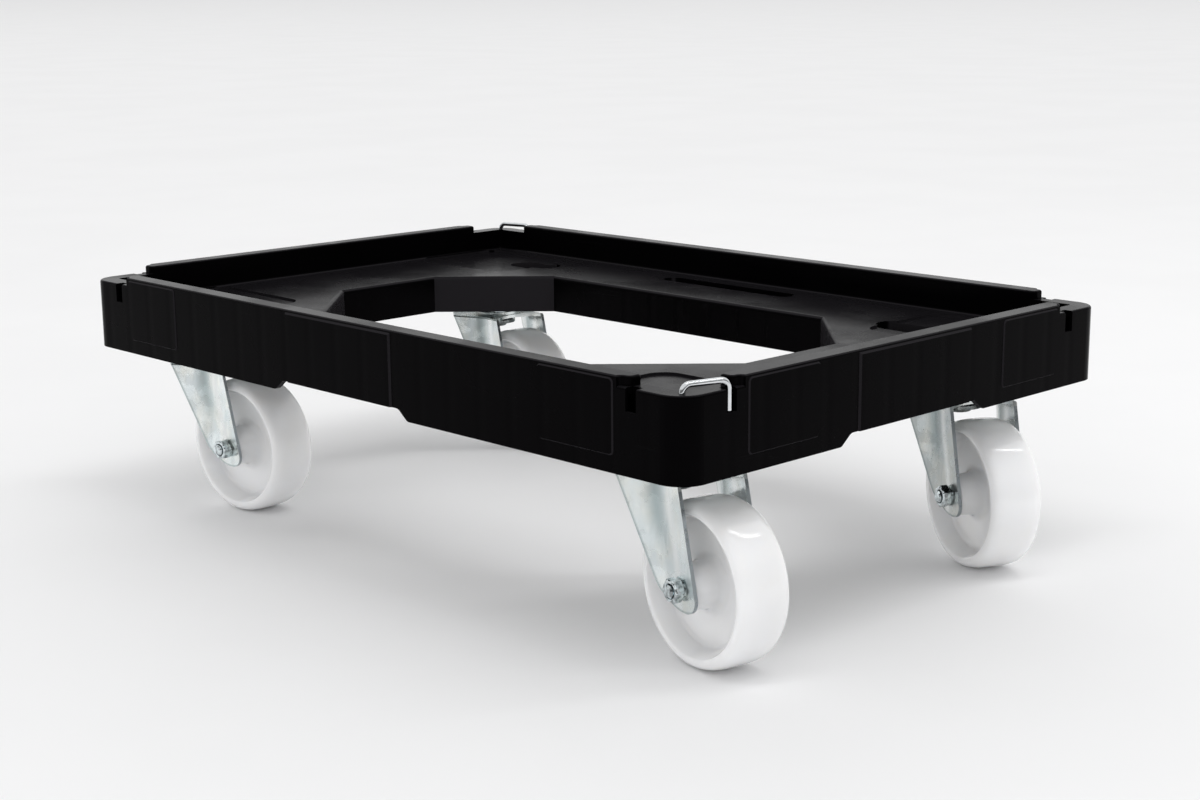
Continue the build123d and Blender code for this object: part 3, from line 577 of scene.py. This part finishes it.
def calc(operation, *values):
    """Output of a Math node."""
    return place("ShaderNodeMath", dict(enumerate(values)), operation=operation).outputs[0]


def vector_math(operation, *vectors):
    """Outputs of a Vector Math node."""
    return place("ShaderNodeVectorMath", dict(enumerate(vectors)), operation=operation).outputs


def dot(vector, direction):
    """How far a vector goes along a unit direction."""
    return vector_math("DOT_PRODUCT", vector, direction)["Value"]


def components(vector):
    """A vector's X, Y and Z."""
    return place("ShaderNodeSeparateXYZ", {0: vector}).outputs


def between(value, low, high, to_low=0.0, to_high=1.0):
    """A value mapped smoothly from one range to another, held at its ends."""
    inputs = {"Value": value, "From Min": low, "From Max": high, "To Min": to_low, "To Max": to_high}
    return place("ShaderNodeMapRange", inputs, interpolation_type="SMOOTHSTEP").outputs["Result"]


def varied(mask, value, fall, rise):
    """A value that a mask varies, from a little less to a little more."""
    return between(mask, 0.0, 1.0, value - fall, value + rise)


def blend_colours(mask, first, second):
    """Colour between two, by a mask."""
    low, high, out = MIX_COLOURS
    return place("ShaderNodeMix", {0: mask, low: first, high: second}, data_type="RGBA").outputs[out]


def blend_values(mask, first, second):
    """Value between two, by a mask."""
    low, high, out = MIX_VALUES
    return place("ShaderNodeMix", {0: mask, low: first, high: second}, data_type="FLOAT").outputs[out]


def noise(vector, scale, detail=3.0, roughness=0.5):
    """Noise value at a scale in features per metre."""
    inputs = {"Vector": vector, "Scale": scale, "Detail": detail, "Roughness": roughness}
    return place("ShaderNodeTexNoise", inputs).outputs["Fac"]


def new_group(name, inputs, outputs):
    """Shader node group with named sockets: its tree, and the sockets of its input and output nodes."""
    tree = bpy.data.node_groups.new(name, "ShaderNodeTree")
    for label, kind, default in inputs:
        tree.interface.new_socket(label, in_out="INPUT", socket_type=kind).default_value = default
    for label, kind in outputs:
        tree.interface.new_socket(label, in_out="OUTPUT", socket_type=kind)
    return tree, tree.nodes.new("NodeGroupInput").outputs, tree.nodes.new("NodeGroupOutput").inputs


def grain_group():
    """Fine moulded or blasted grain: two noises of unlike size, as a height and as a mask."""
    tree, given, out = new_group(
        "Fine grain",
        [("Vector", VECTOR, (0, 0, 0)), ("Scale", VALUE, 900.0)],
        [("Height", VALUE), ("Mask", VALUE)],
    )
    fine = noise(given["Vector"], given["Scale"])
    coarse = noise(given["Vector"], calc("MULTIPLY", given["Scale"], COARSE_SCALE))
    link(blend_values(FINE_SHARE, coarse, fine), out["Height"])
    link(between(coarse, *GRAIN_MASK), out["Mask"])
    return tree


def cloud_group():
    """Two tints in soft patches, drawn out along one direction."""
    tree, given, out = new_group(
        "Cloudy tint",
        [("Vector", VECTOR, (0, 0, 0)), ("Stretch", VECTOR, (1, 1, 1)), ("Scale", VALUE, 30.0),
         ("First", TINT, WHITE), ("Second", TINT, WHITE)],
        [("Colour", TINT), ("Mask", VALUE)],
    )
    drawn = vector_math("MULTIPLY", given["Vector"], given["Stretch"])[0]
    mask = between(noise(drawn, given["Scale"], detail=4.0, roughness=0.55), *CLOUD_MASK)
    link(mask, out["Mask"])
    link(blend_colours(mask, given["First"], given["Second"]), out["Colour"])
    return tree


def rub_group():
    """Sparse hairline rubs: noise drawn out into lines, kept only where a second noise is high."""
    tree, given, out = new_group(
        "Hairline rubs",
        [("Vector", VECTOR, (0, 0, 0)), ("Stretch", VECTOR, (1, 1, 40)), ("Scale", VALUE, 20.0),
         ("Amount", VALUE, 0.5)],
        [("Mask", VALUE)],
    )
    drawn = vector_math("MULTIPLY", given["Vector"], given["Stretch"])[0]
    lines = between(noise(drawn, given["Scale"], detail=2.0), *LINE_MASK)
    where = between(noise(given["Vector"], given["Scale"], detail=2.0), *RUB_MASK)
    mask = calc("MULTIPLY", calc("MULTIPLY", lines, where), given["Amount"])
    link(mask, out["Mask"])
    return tree


def effect(name, where, **inputs):
    """Place a shared effect in a material with its own values; it is built when it is first asked for."""
    makers = {"Fine grain": grain_group, "Cloudy tint": cloud_group, "Hairline rubs": rub_group}
    group = bpy.data.node_groups.get(name) or makers[name]()
    return place("ShaderNodeGroup", {"Vector": where, **inputs}, node_tree=group).outputs


def new_material(name):
    """Empty node material, its shader and the coordinates of its object."""
    material = bpy.data.materials.new(name)
    material.use_nodes = True
    nodes = material.node_tree.nodes
    return material, nodes["Principled BSDF"], nodes.new("ShaderNodeTexCoord").outputs


def link_finish(shader, base, roughness, height, distance):
    """Feed a shader with a colour, a roughness and a bump of a real depth in metres."""
    link(base, shader.inputs["Base Color"])
    link(roughness, shader.inputs["Roughness"])
    bump = place("ShaderNodeBump", {"Height": height, "Distance": distance, "Strength": 1.0})
    link(bump.outputs["Normal"], shader.inputs["Normal"])


def opaque(tint, factor=1.0):
    """Colour with full alpha, lighter or darker by a factor."""
    return (*(factor * part for part in tint), 1.0)


def sink_lines(coordinates):
    """Shallow upright sinks in the outer walls, one at each rib behind them.

    The place along the wall is x on walls that face Y, and y on walls that face X.
    """
    at = components(coordinates["Object"])
    facing = components(coordinates["Normal"])
    faces_x = calc("GREATER_THAN", calc("ABSOLUTE", facing["X"]), FACES_X)
    upright = calc("LESS_THAN", calc("ABSOLUTE", facing["Z"]), UPRIGHT)
    along = blend_values(faces_x, at["X"], at["Y"])
    off_rib = calc("PINGPONG", along, RIB_PITCH / 2)
    sink = between(off_rib, 0.0, SINK_HALF_WIDTH)
    return calc("MULTIPLY", sink, upright)


def painted_light_places(coordinates):
    """Where light is painted on the moulding: a painted highlight on sloping edges but the corner posts, and
    painted light on the shaded walls of the pad pockets.
    """
    at = components(vector_math("ABSOLUTE", coordinates["Object"])[0])
    facing = components(vector_math("ABSOLUTE", coordinates["Normal"])[0])
    sideways = calc("MAXIMUM", facing["X"], facing["Y"])
    sloping = between(calc("MAXIMUM", sideways, facing["Z"]), *SLOPING, 1.0, 0.0)
    kingpin, _ = joint_line("swivel_back_right")
    far_x = calc("SUBTRACT", at["X"], kingpin[0])
    far_y = calc("SUBTRACT", at["Y"], kingpin[1])
    to_corner = calc("MINIMUM", far_x, far_y)
    off_post = between(to_corner, POST_START, POST_START + POST_FADE, 1.0, 0.0)
    off_x, off_y = (calc("ABSOLUTE", far) for far in (far_x, far_y))
    tests = (
        ("GREATER_THAN", sideways, FACES_SIDEWAYS),
        ("LESS_THAN", at["Z"], DECK_TOP + POCKET_MARGIN),
        ("GREATER_THAN", at["Z"], DECK_TOP - POCKET_DEPTH),
        ("LESS_THAN", calc("MAXIMUM", off_x, off_y), POCKET_REACH),
    )
    pocket = 1.0
    for test in tests:
        pocket = calc("MULTIPLY", pocket, calc(*test))
    return calc("MAXIMUM", calc("MULTIPLY", sloping, off_post), pocket)


def plastic_finish(finishes):
    """Black moulded plastic: satin, rubbed in places, with painted sheen on top faces, painted highlights on
    sloping edges, painted light on the shaded walls of the pad pockets, sunk over ribs.
    """
    material, shader, coordinates = new_material("moulded_black")
    where = coordinates["Object"]
    black, lighter = opaque(finishes.plastic), opaque(finishes.plastic, PLASTIC_PATCHES)
    cloud = effect("Cloudy tint", where, Scale=14.0, First=black, Second=lighter)
    rubs = effect("Hairline rubs", where, Stretch=(1, 1, 26), Scale=24.0, Amount=0.35)
    grain = effect("Fine grain", where, Scale=1100.0)
    rubbed = blend_colours(rubs["Mask"], cloud["Colour"], opaque(finishes.plastic_worn))
    upward = between(components(coordinates["Normal"])["Z"], *FACES_UP)
    # Painted sheen: faces that point up are made lighter for the light they catch.
    sheened = blend_colours(upward, rubbed, opaque(finishes.plastic_sheen))
    # Painted highlight on sloping edges and painted light on the shaded walls of the pad pockets.
    base = blend_colours(painted_light_places(coordinates), sheened, opaque(finishes.plastic_painted_light))
    roughness = varied(cloud["Mask"], finishes.plastic_roughness, *PLASTIC_GLOSS)
    sinks = calc("MULTIPLY", sink_lines(coordinates), SINK_DEPTH)
    texture = calc("MULTIPLY", grain["Height"], PLASTIC_GRAIN)
    link_finish(shader, base, roughness, calc("ADD", sinks, texture), distance=1.0)
    shader.inputs["Specular IOR Level"].default_value = 0.018
    shader.inputs["Specular Tint"].default_value = (1.0, 0.92, 1.0, 1.0)
    return material


def zinc_colour(where, finishes, tone):
    """Colour of zinc plating, and its dark tint, which the forks also take as painted shade in their folds.

    It is blue white with straw patches, and dark in drawn-out streaks, specks and rubs.
    """
    tints = (finishes.zinc, finishes.zinc_straw, finishes.zinc_dark)
    blue, straw, dark = (opaque(tint, tone) for tint in tints)
    cloud = effect("Cloudy tint", where, Stretch=(1, 1, 0.6), Scale=75.0, First=blue, Second=straw)
    streaks = effect("Cloudy tint", where, Stretch=(1, 1, 0.2), Scale=170.0)
    rubs = effect("Hairline rubs", where, Stretch=(1, 1, 0.06), Scale=420.0, Amount=0.5)
    specks = effect("Fine grain", where, Scale=480.0)
    streaky = calc("MULTIPLY", streaks["Mask"], STREAKS)
    specked = calc("MULTIPLY", specks["Mask"], SPECKS)
    darkened = calc("MAXIMUM", calc("MAXIMUM", streaky, specked), rubs["Mask"])
    return blend_colours(darkened, cloud["Colour"], dark), dark


def plate(shader, where, base, finishes):
    """Link a plated colour with a soft gloss that varies over a fine grain."""
    grain = effect("Fine grain", where, Scale=700.0)
    roughness = varied(grain["Mask"], finishes.zinc_roughness, *ZINC_GLOSS)
    link_finish(shader, base, roughness, grain["Height"], ZINC_GRAIN)
    shader.inputs["Metallic"].default_value = 1.0


def zinc_finish(name, finishes, tone=1.0):
    """Zinc plated plates, and the same plating darkened as painted shade on the rivets and races between them."""
    material, shader, coordinates = new_material(name)
    base, _ = zinc_colour(coordinates["Object"], finishes, tone)
    plate(shader, coordinates["Object"], base, finishes)
    return material


def heel_distance(behind, height, fork, axle_height):
    """How far inside a fork leg's rear edge a point lies.

    The edge is a straight line that moves along the trail as it falls, then an arc of the heel radius.
    """
    slope = (fork.heel_foot - fork.heel_top) / (fork.crown_top - axle_height)
    lean = math.atan(slope)
    offset = fork.heel_top + slope * fork.crown_top
    line = calc("MULTIPLY_ADD", height, -slope, offset)
    straight = calc("MULTIPLY", calc("SUBTRACT", behind, line), math.cos(lean))
    high = fork.foot_under + fork.heel_radius
    far = offset - slope * high + fork.heel_radius / math.cos(lean)
    square_high = calc("POWER", calc("SUBTRACT", height, high), 2.0)
    square_far = calc("POWER", calc("SUBTRACT", behind, far), 2.0)
    from_centre = calc("SQRT", calc("ADD", square_high, square_far))
    arc = calc("SUBTRACT", fork.heel_radius, from_centre)
    above = calc("GREATER_THAN", height, high - fork.heel_radius * math.sin(lean))
    return blend_values(above, arc, straight)


def ridge_mask(distance, half_width, amount):
    """An amount at a line, falling smoothly to nothing at a distance on either side."""
    return between(calc("ABSOLUTE", distance), 0.0, half_width, amount, 0.0)


def fork_finish(finishes, fork, corner):
    """Zinc plated fork: painted shade in the fold of its legs and a painted highlight on the ridge beside it,
    darker along their rear edge, bare at its cut edges.

    Distance from the fold is the trail behind the kingpin less the fold's own, which falls smoothly with
    height. Cut edges face square to the axle below the crown.
    """
    material, shader, coordinates = new_material(f"zinc_fork_{corner}")
    where = coordinates["Object"]
    kingpin, _ = joint_line(f"swivel_{corner}")
    centre, axle = joint_line(f"spin_{corner}")
    trail = unit((centre - kingpin) * (1, 1, 0))
    axle_height, crown = centre[2], fork.crown_under
    # Painted light: each fork's plating is made lighter or darker for how lit its corner is.
    base, dark = zinc_colour(where, finishes, FORK_PAINTED_LIGHT[corner])
    behind = dot(vector_math("SUBTRACT", where, kingpin)[0], trail)
    height = components(where)["Z"]
    fold = between(height, axle_height, crown, fork.fold_foot, fork.fold_top)
    past_fold = calc("SUBTRACT", behind, fold)
    past_ridge = calc("SUBTRACT", past_fold, fork.ridge_offset)
    # Painted highlight on the ridge behind the fold.
    on_ridge = ridge_mask(past_ridge, fork.ridge_width, RIDGE_HIGHLIGHT)
    ridged = blend_colours(on_ridge, base, opaque(finishes.zinc_highlight))
    # Painted shade in the fold of the legs, fading out near the foot and the crown; a darker band along the rear
    # edge.
    in_fold = ridge_mask(past_fold, fork.fold_width, FOLD_SHADE)
    high_up = between(height, axle_height + FOLD_FADE_FOOT, crown - FOLD_FADE_CROWN)
    inside = heel_distance(behind, height, fork, axle_height)
    at_heel = between(inside, REAR_EDGE_CORE * fork.edge_width, fork.edge_width, REAR_EDGE_DARK, 0.0)
    darkened = calc("MAXIMUM", calc("MULTIPLY", in_fold, high_up), at_heel)
    folded = blend_colours(darkened, ridged, dark)
    along_axle = calc("ABSOLUTE", dot(coordinates["Normal"], axle))
    edge = between(along_axle, *CUT_FACING, 1.0, 0.0)
    below = calc("LESS_THAN", height, crown - CROWN_MARGIN)
    cut = calc("MULTIPLY", edge, below)
    plate(shader, where, blend_colours(cut, folded, opaque(finishes.cut_edge)), finishes)
    return material


def steel_finish(name, tint, base_roughness, scale, patches=STEEL_PATCHES):
    """Plated or polished steel with fine grain, clouded in its gloss and down to a share of its tint."""
    material, shader, coordinates = new_material(name)
    where = coordinates["Object"]
    cloud = effect("Cloudy tint", where, Scale=scale, First=opaque(tint), Second=opaque(tint, patches))
    grain = effect("Fine grain", where, Scale=1400.0)
    fall, rise = (part * base_roughness for part in STEEL_GLOSS)
    roughness = varied(cloud["Mask"], base_roughness, fall, rise)
    link_finish(shader, cloud["Colour"], roughness, grain["Height"], STEEL_GRAIN)
    shader.inputs["Metallic"].default_value = 1.0
    return material


def nylon_finish(finishes):
    """White polyamide: faintly cloudy and a little see-through, with faint rubs."""
    material, shader, coordinates = new_material("white_polyamide")
    where = coordinates["Object"]
    white, shade = opaque(finishes.nylon), opaque(finishes.nylon_shade)
    cloud = effect("Cloudy tint", where, Scale=24.0, First=white, Second=shade)
    rubs = effect("Hairline rubs", where, Stretch=(8, 1, 1), Scale=90.0, Amount=0.05)
    grain = effect("Fine grain", where, Scale=800.0)
    rubbed = opaque(finishes.nylon_shade, NYLON_RUBBED)
    base = blend_colours(rubs["Mask"], cloud["Colour"], rubbed)
    roughness = varied(cloud["Mask"], finishes.nylon_roughness, *NYLON_GLOSS)
    link_finish(shader, base, roughness, grain["Height"], NYLON_GRAIN)
    shader.inputs["Subsurface Weight"].default_value = 0.8
    shader.inputs["Subsurface Radius"].default_value = (1.0, 0.97, 0.93)
    shader.inputs["Subsurface Scale"].default_value = 0.012
    return material


def floor_finish(stage):
    """Pale matt floor with the faintest clouding."""
    material, shader, coordinates = new_material("pale_floor")
    pale, darker = opaque(stage.floor), opaque(stage.floor, FLOOR_PATCHES)
    cloud = effect("Cloudy tint", coordinates["Object"], Scale=3.0, First=pale, Second=darker)
    link(cloud["Colour"], shader.inputs["Base Color"])
    shader.inputs["Roughness"].default_value = 0.7
    shader.inputs["Specular IOR Level"].default_value = 0.0
    return material


def make_floor(stage):
    """Level square at z = 0."""
    mesh = bpy.data.meshes.new("floor")
    corners = np.array([(-1, -1, 0), (1, -1, 0), (1, 1, 0), (-1, 1, 0)], float) * stage.floor_reach
    mesh.from_pydata(corners, [], [(0, 1, 2, 3)])
    mesh.materials.append(floor_finish(stage))
    add_object("floor", mesh)


def picture_axes(stage):
    """Level unit vectors to the right of the picture and toward the camera."""
    cos, sin = math.cos(stage.azimuth), math.sin(stage.azimuth)
    return np.array([cos, sin, 0.0]), np.array([sin, -cos, 0.0])


def make_room(scene, stage):
    """White room that lights the dolly more from low down and from its back.

    The camera sees its wall's plain tone. Mirrors see that tone too, dimmer low on the camera's side and
    brighter at the back.
    """
    world = bpy.data.worlds.new("white_room")
    world.use_nodes = True
    nodes = world.node_tree.nodes
    rays = nodes.new("ShaderNodeLightPath").outputs
    mirrored = calc("MAXIMUM", rays["Is Glossy Ray"], rays["Is Transmission Ray"])
    seen = calc("MAXIMUM", rays["Is Camera Ray"], mirrored)
    tone = blend_colours(seen, WHITE, opaque(stage.wall))
    direction = nodes.new("ShaderNodeTexCoord").outputs["Generated"]
    height = components(direction)["Z"]
    _, front = picture_axes(stage)
    facing = dot(direction, front)
    level = between(height, 0.0, CEILING_START, stage.room_low, stage.room_high)
    glow = between(facing, *BACK_FACING, stage.room_glow, 1.0)
    near_side = between(facing, *DIM_FACING)
    low_down = between(height, *DIM_HEIGHT, 1.0, 0.0)
    dim = between(calc("MULTIPLY", near_side, low_down), 0.0, 1.0, 1.0, stage.room_dim)
    back = between(facing, *BACK_FACING, stage.room_back, 1.0)
    lighting = calc("MULTIPLY", level, glow)
    reflected = calc("MULTIPLY", dim, back)
    unseen = blend_values(mirrored, lighting, reflected)
    background = nodes["Background"]
    link(tone, background.inputs["Color"])
    link(blend_values(rays["Is Camera Ray"], unseen, 1.0), background.inputs["Strength"])
    scene.world = world


def placement(right, back, centre):
    """Matrix of a lamp or camera that looks against back, with right as its level direction."""
    columns = np.column_stack([right, np.cross(back, right), back, centre])
    return Matrix(np.vstack([columns, (0, 0, 0, 1)]))


def panel_light(name, power, length, width, matrix):
    """Rectangular light that shines evenly from one side."""
    data = bpy.data.lights.new(name, "AREA")
    data.shape = "RECTANGLE"
    data.size = length
    data.size_y = width
    data.energy = power
    lamp = add_object(name, data)
    lamp.matrix_world = matrix
    return lamp


def make_strip_light(stage):
    """Long strip light facing down, from overhead out to the picture's right, its right end turned back."""
    right, front = picture_axes(stage)
    along = math.cos(stage.strip_turn) * right - math.sin(stage.strip_turn) * front
    centre = stage.strip_right * right + stage.strip_front * front + stage.strip_height * UP
    matrix = placement(along, UP, centre)
    panel_light("strip_light", stage.strip_power, stage.strip_length, stage.strip_width, matrix)


def make_key_light(stage):
    """Long far light that leans from overhead to the camera's side and that mirrors do not show."""
    right, front = picture_axes(stage)
    back = math.sin(stage.key_lean) * front + math.cos(stage.key_lean) * UP
    matrix = placement(right, back, stage.key_distance * back)
    lamp = panel_light("key_light", stage.key_power, stage.key_length, stage.key_width, matrix)
    lamp.visible_glossy = False


def make_camera(stage):
    """Camera at the photograph's place: azimuth and elevation give its back, roll turns it about that."""
    _, front = picture_axes(stage)
    back = math.cos(stage.elevation) * front + math.sin(stage.elevation) * UP
    level, up = side_vectors(back)
    right = math.cos(stage.roll) * level + math.sin(stage.roll) * up
    data = bpy.data.cameras.new("camera")
    data.lens = stage.lens
    camera = add_object("camera", data)
    camera.matrix_world = placement(right, back, np.array(stage.camera_place))
    return camera


class DOLLY_OT_moulded_frame(bpy.types.Operator):
    """Finish the black moulded frame"""

    bl_idname = "dolly.moulded_frame"
    bl_label = "Moulded frame"

    def execute(self, context):
        finish_node("deck_frame", plastic_finish(context.scene.dolly_finishes))
        return {"FINISHED"}


class DOLLY_OT_castor_steel(bpy.types.Operator):
    """Finish the castors' pressings, bearings, sleeves and screws"""

    bl_idname = "dolly.castor_steel"
    bl_label = "Castor steel"

    def execute(self, context):
        finishes = context.scene.dolly_finishes
        plated = zinc_finish("zinc_plated", finishes)
        # Painted shade: kingpins and lower races are darkened for the shade they sit in under the plate.
        pivot = zinc_finish("zinc_dark", finishes, PIVOT_SHADE)
        polished = steel_finish("bearing_steel", finishes.bearing, finishes.bearing_roughness, scale=200.0)
        screws = steel_finish("screw_steel", finishes.bolt, finishes.bolt_roughness, scale=120.0)
        steels = {
            "castor_plate": plated, "kingpin": pivot, "lower_race": pivot,
            "upper_balls": polished, "lower_balls": polished,
            "plate_screws": screws, "axle_sleeve": screws,
        }
        for corner in CASTORS:
            for node, material in steels.items():
                finish_node(f"{node}_{corner}", material)
            finish_node(f"castor_fork_{corner}", fork_finish(finishes, context.scene.dolly_forks, corner))
        return {"FINISHED"}


class DOLLY_OT_wheels(bpy.types.Operator):
    """Turn the four polyamide wheels"""

    bl_idname = "dolly.wheels"
    bl_label = "Wheels"

    def execute(self, context):
        material = nylon_finish(context.scene.dolly_finishes)
        for corner in CASTORS:
            centre, axis = joint_line(f"spin_{corner}")
            wheel = make_wheel(f"wheel_{corner}", context.scene.dolly_wheels, centre, axis)
            dress(wheel, material, f"wheel_{corner}", f"castor_wheel_{corner}")
        return {"FINISHED"}


class DOLLY_OT_axle_fasteners(bpy.types.Operator):
    """Make the four axle bolts with their locking nuts"""

    bl_idname = "dolly.axle_fasteners"
    bl_label = "Axle bolts and nuts"

    def execute(self, context):
        finishes = context.scene.dolly_finishes
        shape = context.scene.dolly_fasteners
        material = steel_finish(
            "fastener_steel", finishes.bolt, finishes.bolt_roughness, scale=330.0, patches=NUT_PATCHES
        )
        for corner in CASTORS:
            centre, axis = joint_line(f"spin_{corner}")
            bolt = make_bolt(f"bolt_{corner}", shape, centre, axis)
            dress(bolt, material, f"castor_{corner}", f"axle_bolt_{corner}")
            nut = make_nut(f"nut_{corner}", shape, centre, -axis, math.radians(NUT_TURNS[corner]))
            dress(nut, material, f"castor_{corner}", f"axle_nut_{corner}")
        return {"FINISHED"}


class DOLLY_OT_hooks(bpy.types.Operator):
    """Bend the two wire hooks"""

    bl_idname = "dolly.hooks"
    bl_label = "Wire hooks"

    def execute(self, context):
        finishes = context.scene.dolly_finishes
        shape = context.scene.dolly_hooks
        bright = steel_finish("hook_wire", finishes.wire, finishes.wire_roughness, scale=90.0)
        plain = steel_finish("retainer_steel", finishes.bolt, finishes.bolt_roughness, scale=120.0)
        for corner in HOOKS:
            centre, _ = joint_line(f"hook_swing_{corner}")
            node = f"coupling_hook_{corner}"
            hook = make_hook(f"hook_{corner}", node, shape, centre)
            dress(hook, bright, f"hook_{corner}", node)
            finish_node(f"hook_retainer_{corner}", plain)
        return {"FINISHED"}


class DOLLY_OT_stage(bpy.types.Operator):
    """Set up the camera, the floor and the light"""

    bl_idname = "dolly.stage"
    bl_label = "Stage"

    def execute(self, context):
        stage = context.scene.dolly_stage
        make_floor(stage)
        make_room(context.scene, stage)
        make_strip_light(stage)
        make_key_light(stage)
        context.scene.camera = make_camera(stage)
        context.scene.view_settings.view_transform = "Standard"
        return {"FINISHED"}


class DOLLY_PT_panel(bpy.types.Panel):
    """Lists the dolly's pieces and its stage"""

    bl_idname = "DOLLY_PT_panel"
    bl_label = "Platform dolly"
    bl_space_type = "VIEW_3D"
    bl_region_type = "UI"
    bl_category = "Dolly"

    def draw(self, context):
        for operator in OPERATORS:
            self.layout.operator(operator.bl_idname)


OPERATORS = (
    DOLLY_OT_moulded_frame,
    DOLLY_OT_castor_steel,
    DOLLY_OT_wheels,
    DOLLY_OT_axle_fasteners,
    DOLLY_OT_hooks,
    DOLLY_OT_stage,
)
SETTINGS = {
    "dolly_wheels": DollyWheelShape,
    "dolly_fasteners": DollyFastenerShape,
    "dolly_forks": DollyForkShape,
    "dolly_hooks": DollyHookShape,
    "dolly_finishes": DollyFinishes,
    "dolly_stage": DollyStage,
}


def register():
    """Add the settings, the operators and the panel."""
    for name, group in SETTINGS.items():
        bpy.utils.register_class(group)
        setattr(bpy.types.Scene, name, PointerProperty(type=group))
    for operator in OPERATORS:
        bpy.utils.register_class(operator)
    bpy.utils.register_class(DOLLY_PT_panel)


def unregister():
    """Take the panel, the operators and the settings away again."""
    bpy.utils.unregister_class(DOLLY_PT_panel)
    for operator in reversed(OPERATORS):
        bpy.utils.unregister_class(operator)
    for name, group in reversed(SETTINGS.items()):
        delattr(bpy.types.Scene, name)
        bpy.utils.unregister_class(group)


def main():
    """Dress the dolly."""
    register()
    bpy.ops.dolly.moulded_frame()
    bpy.ops.dolly.castor_steel()
    bpy.ops.dolly.wheels()
    bpy.ops.dolly.axle_fasteners()
    bpy.ops.dolly.hooks()
    bpy.ops.dolly.stage()


if __name__ == "__main__":
    main()
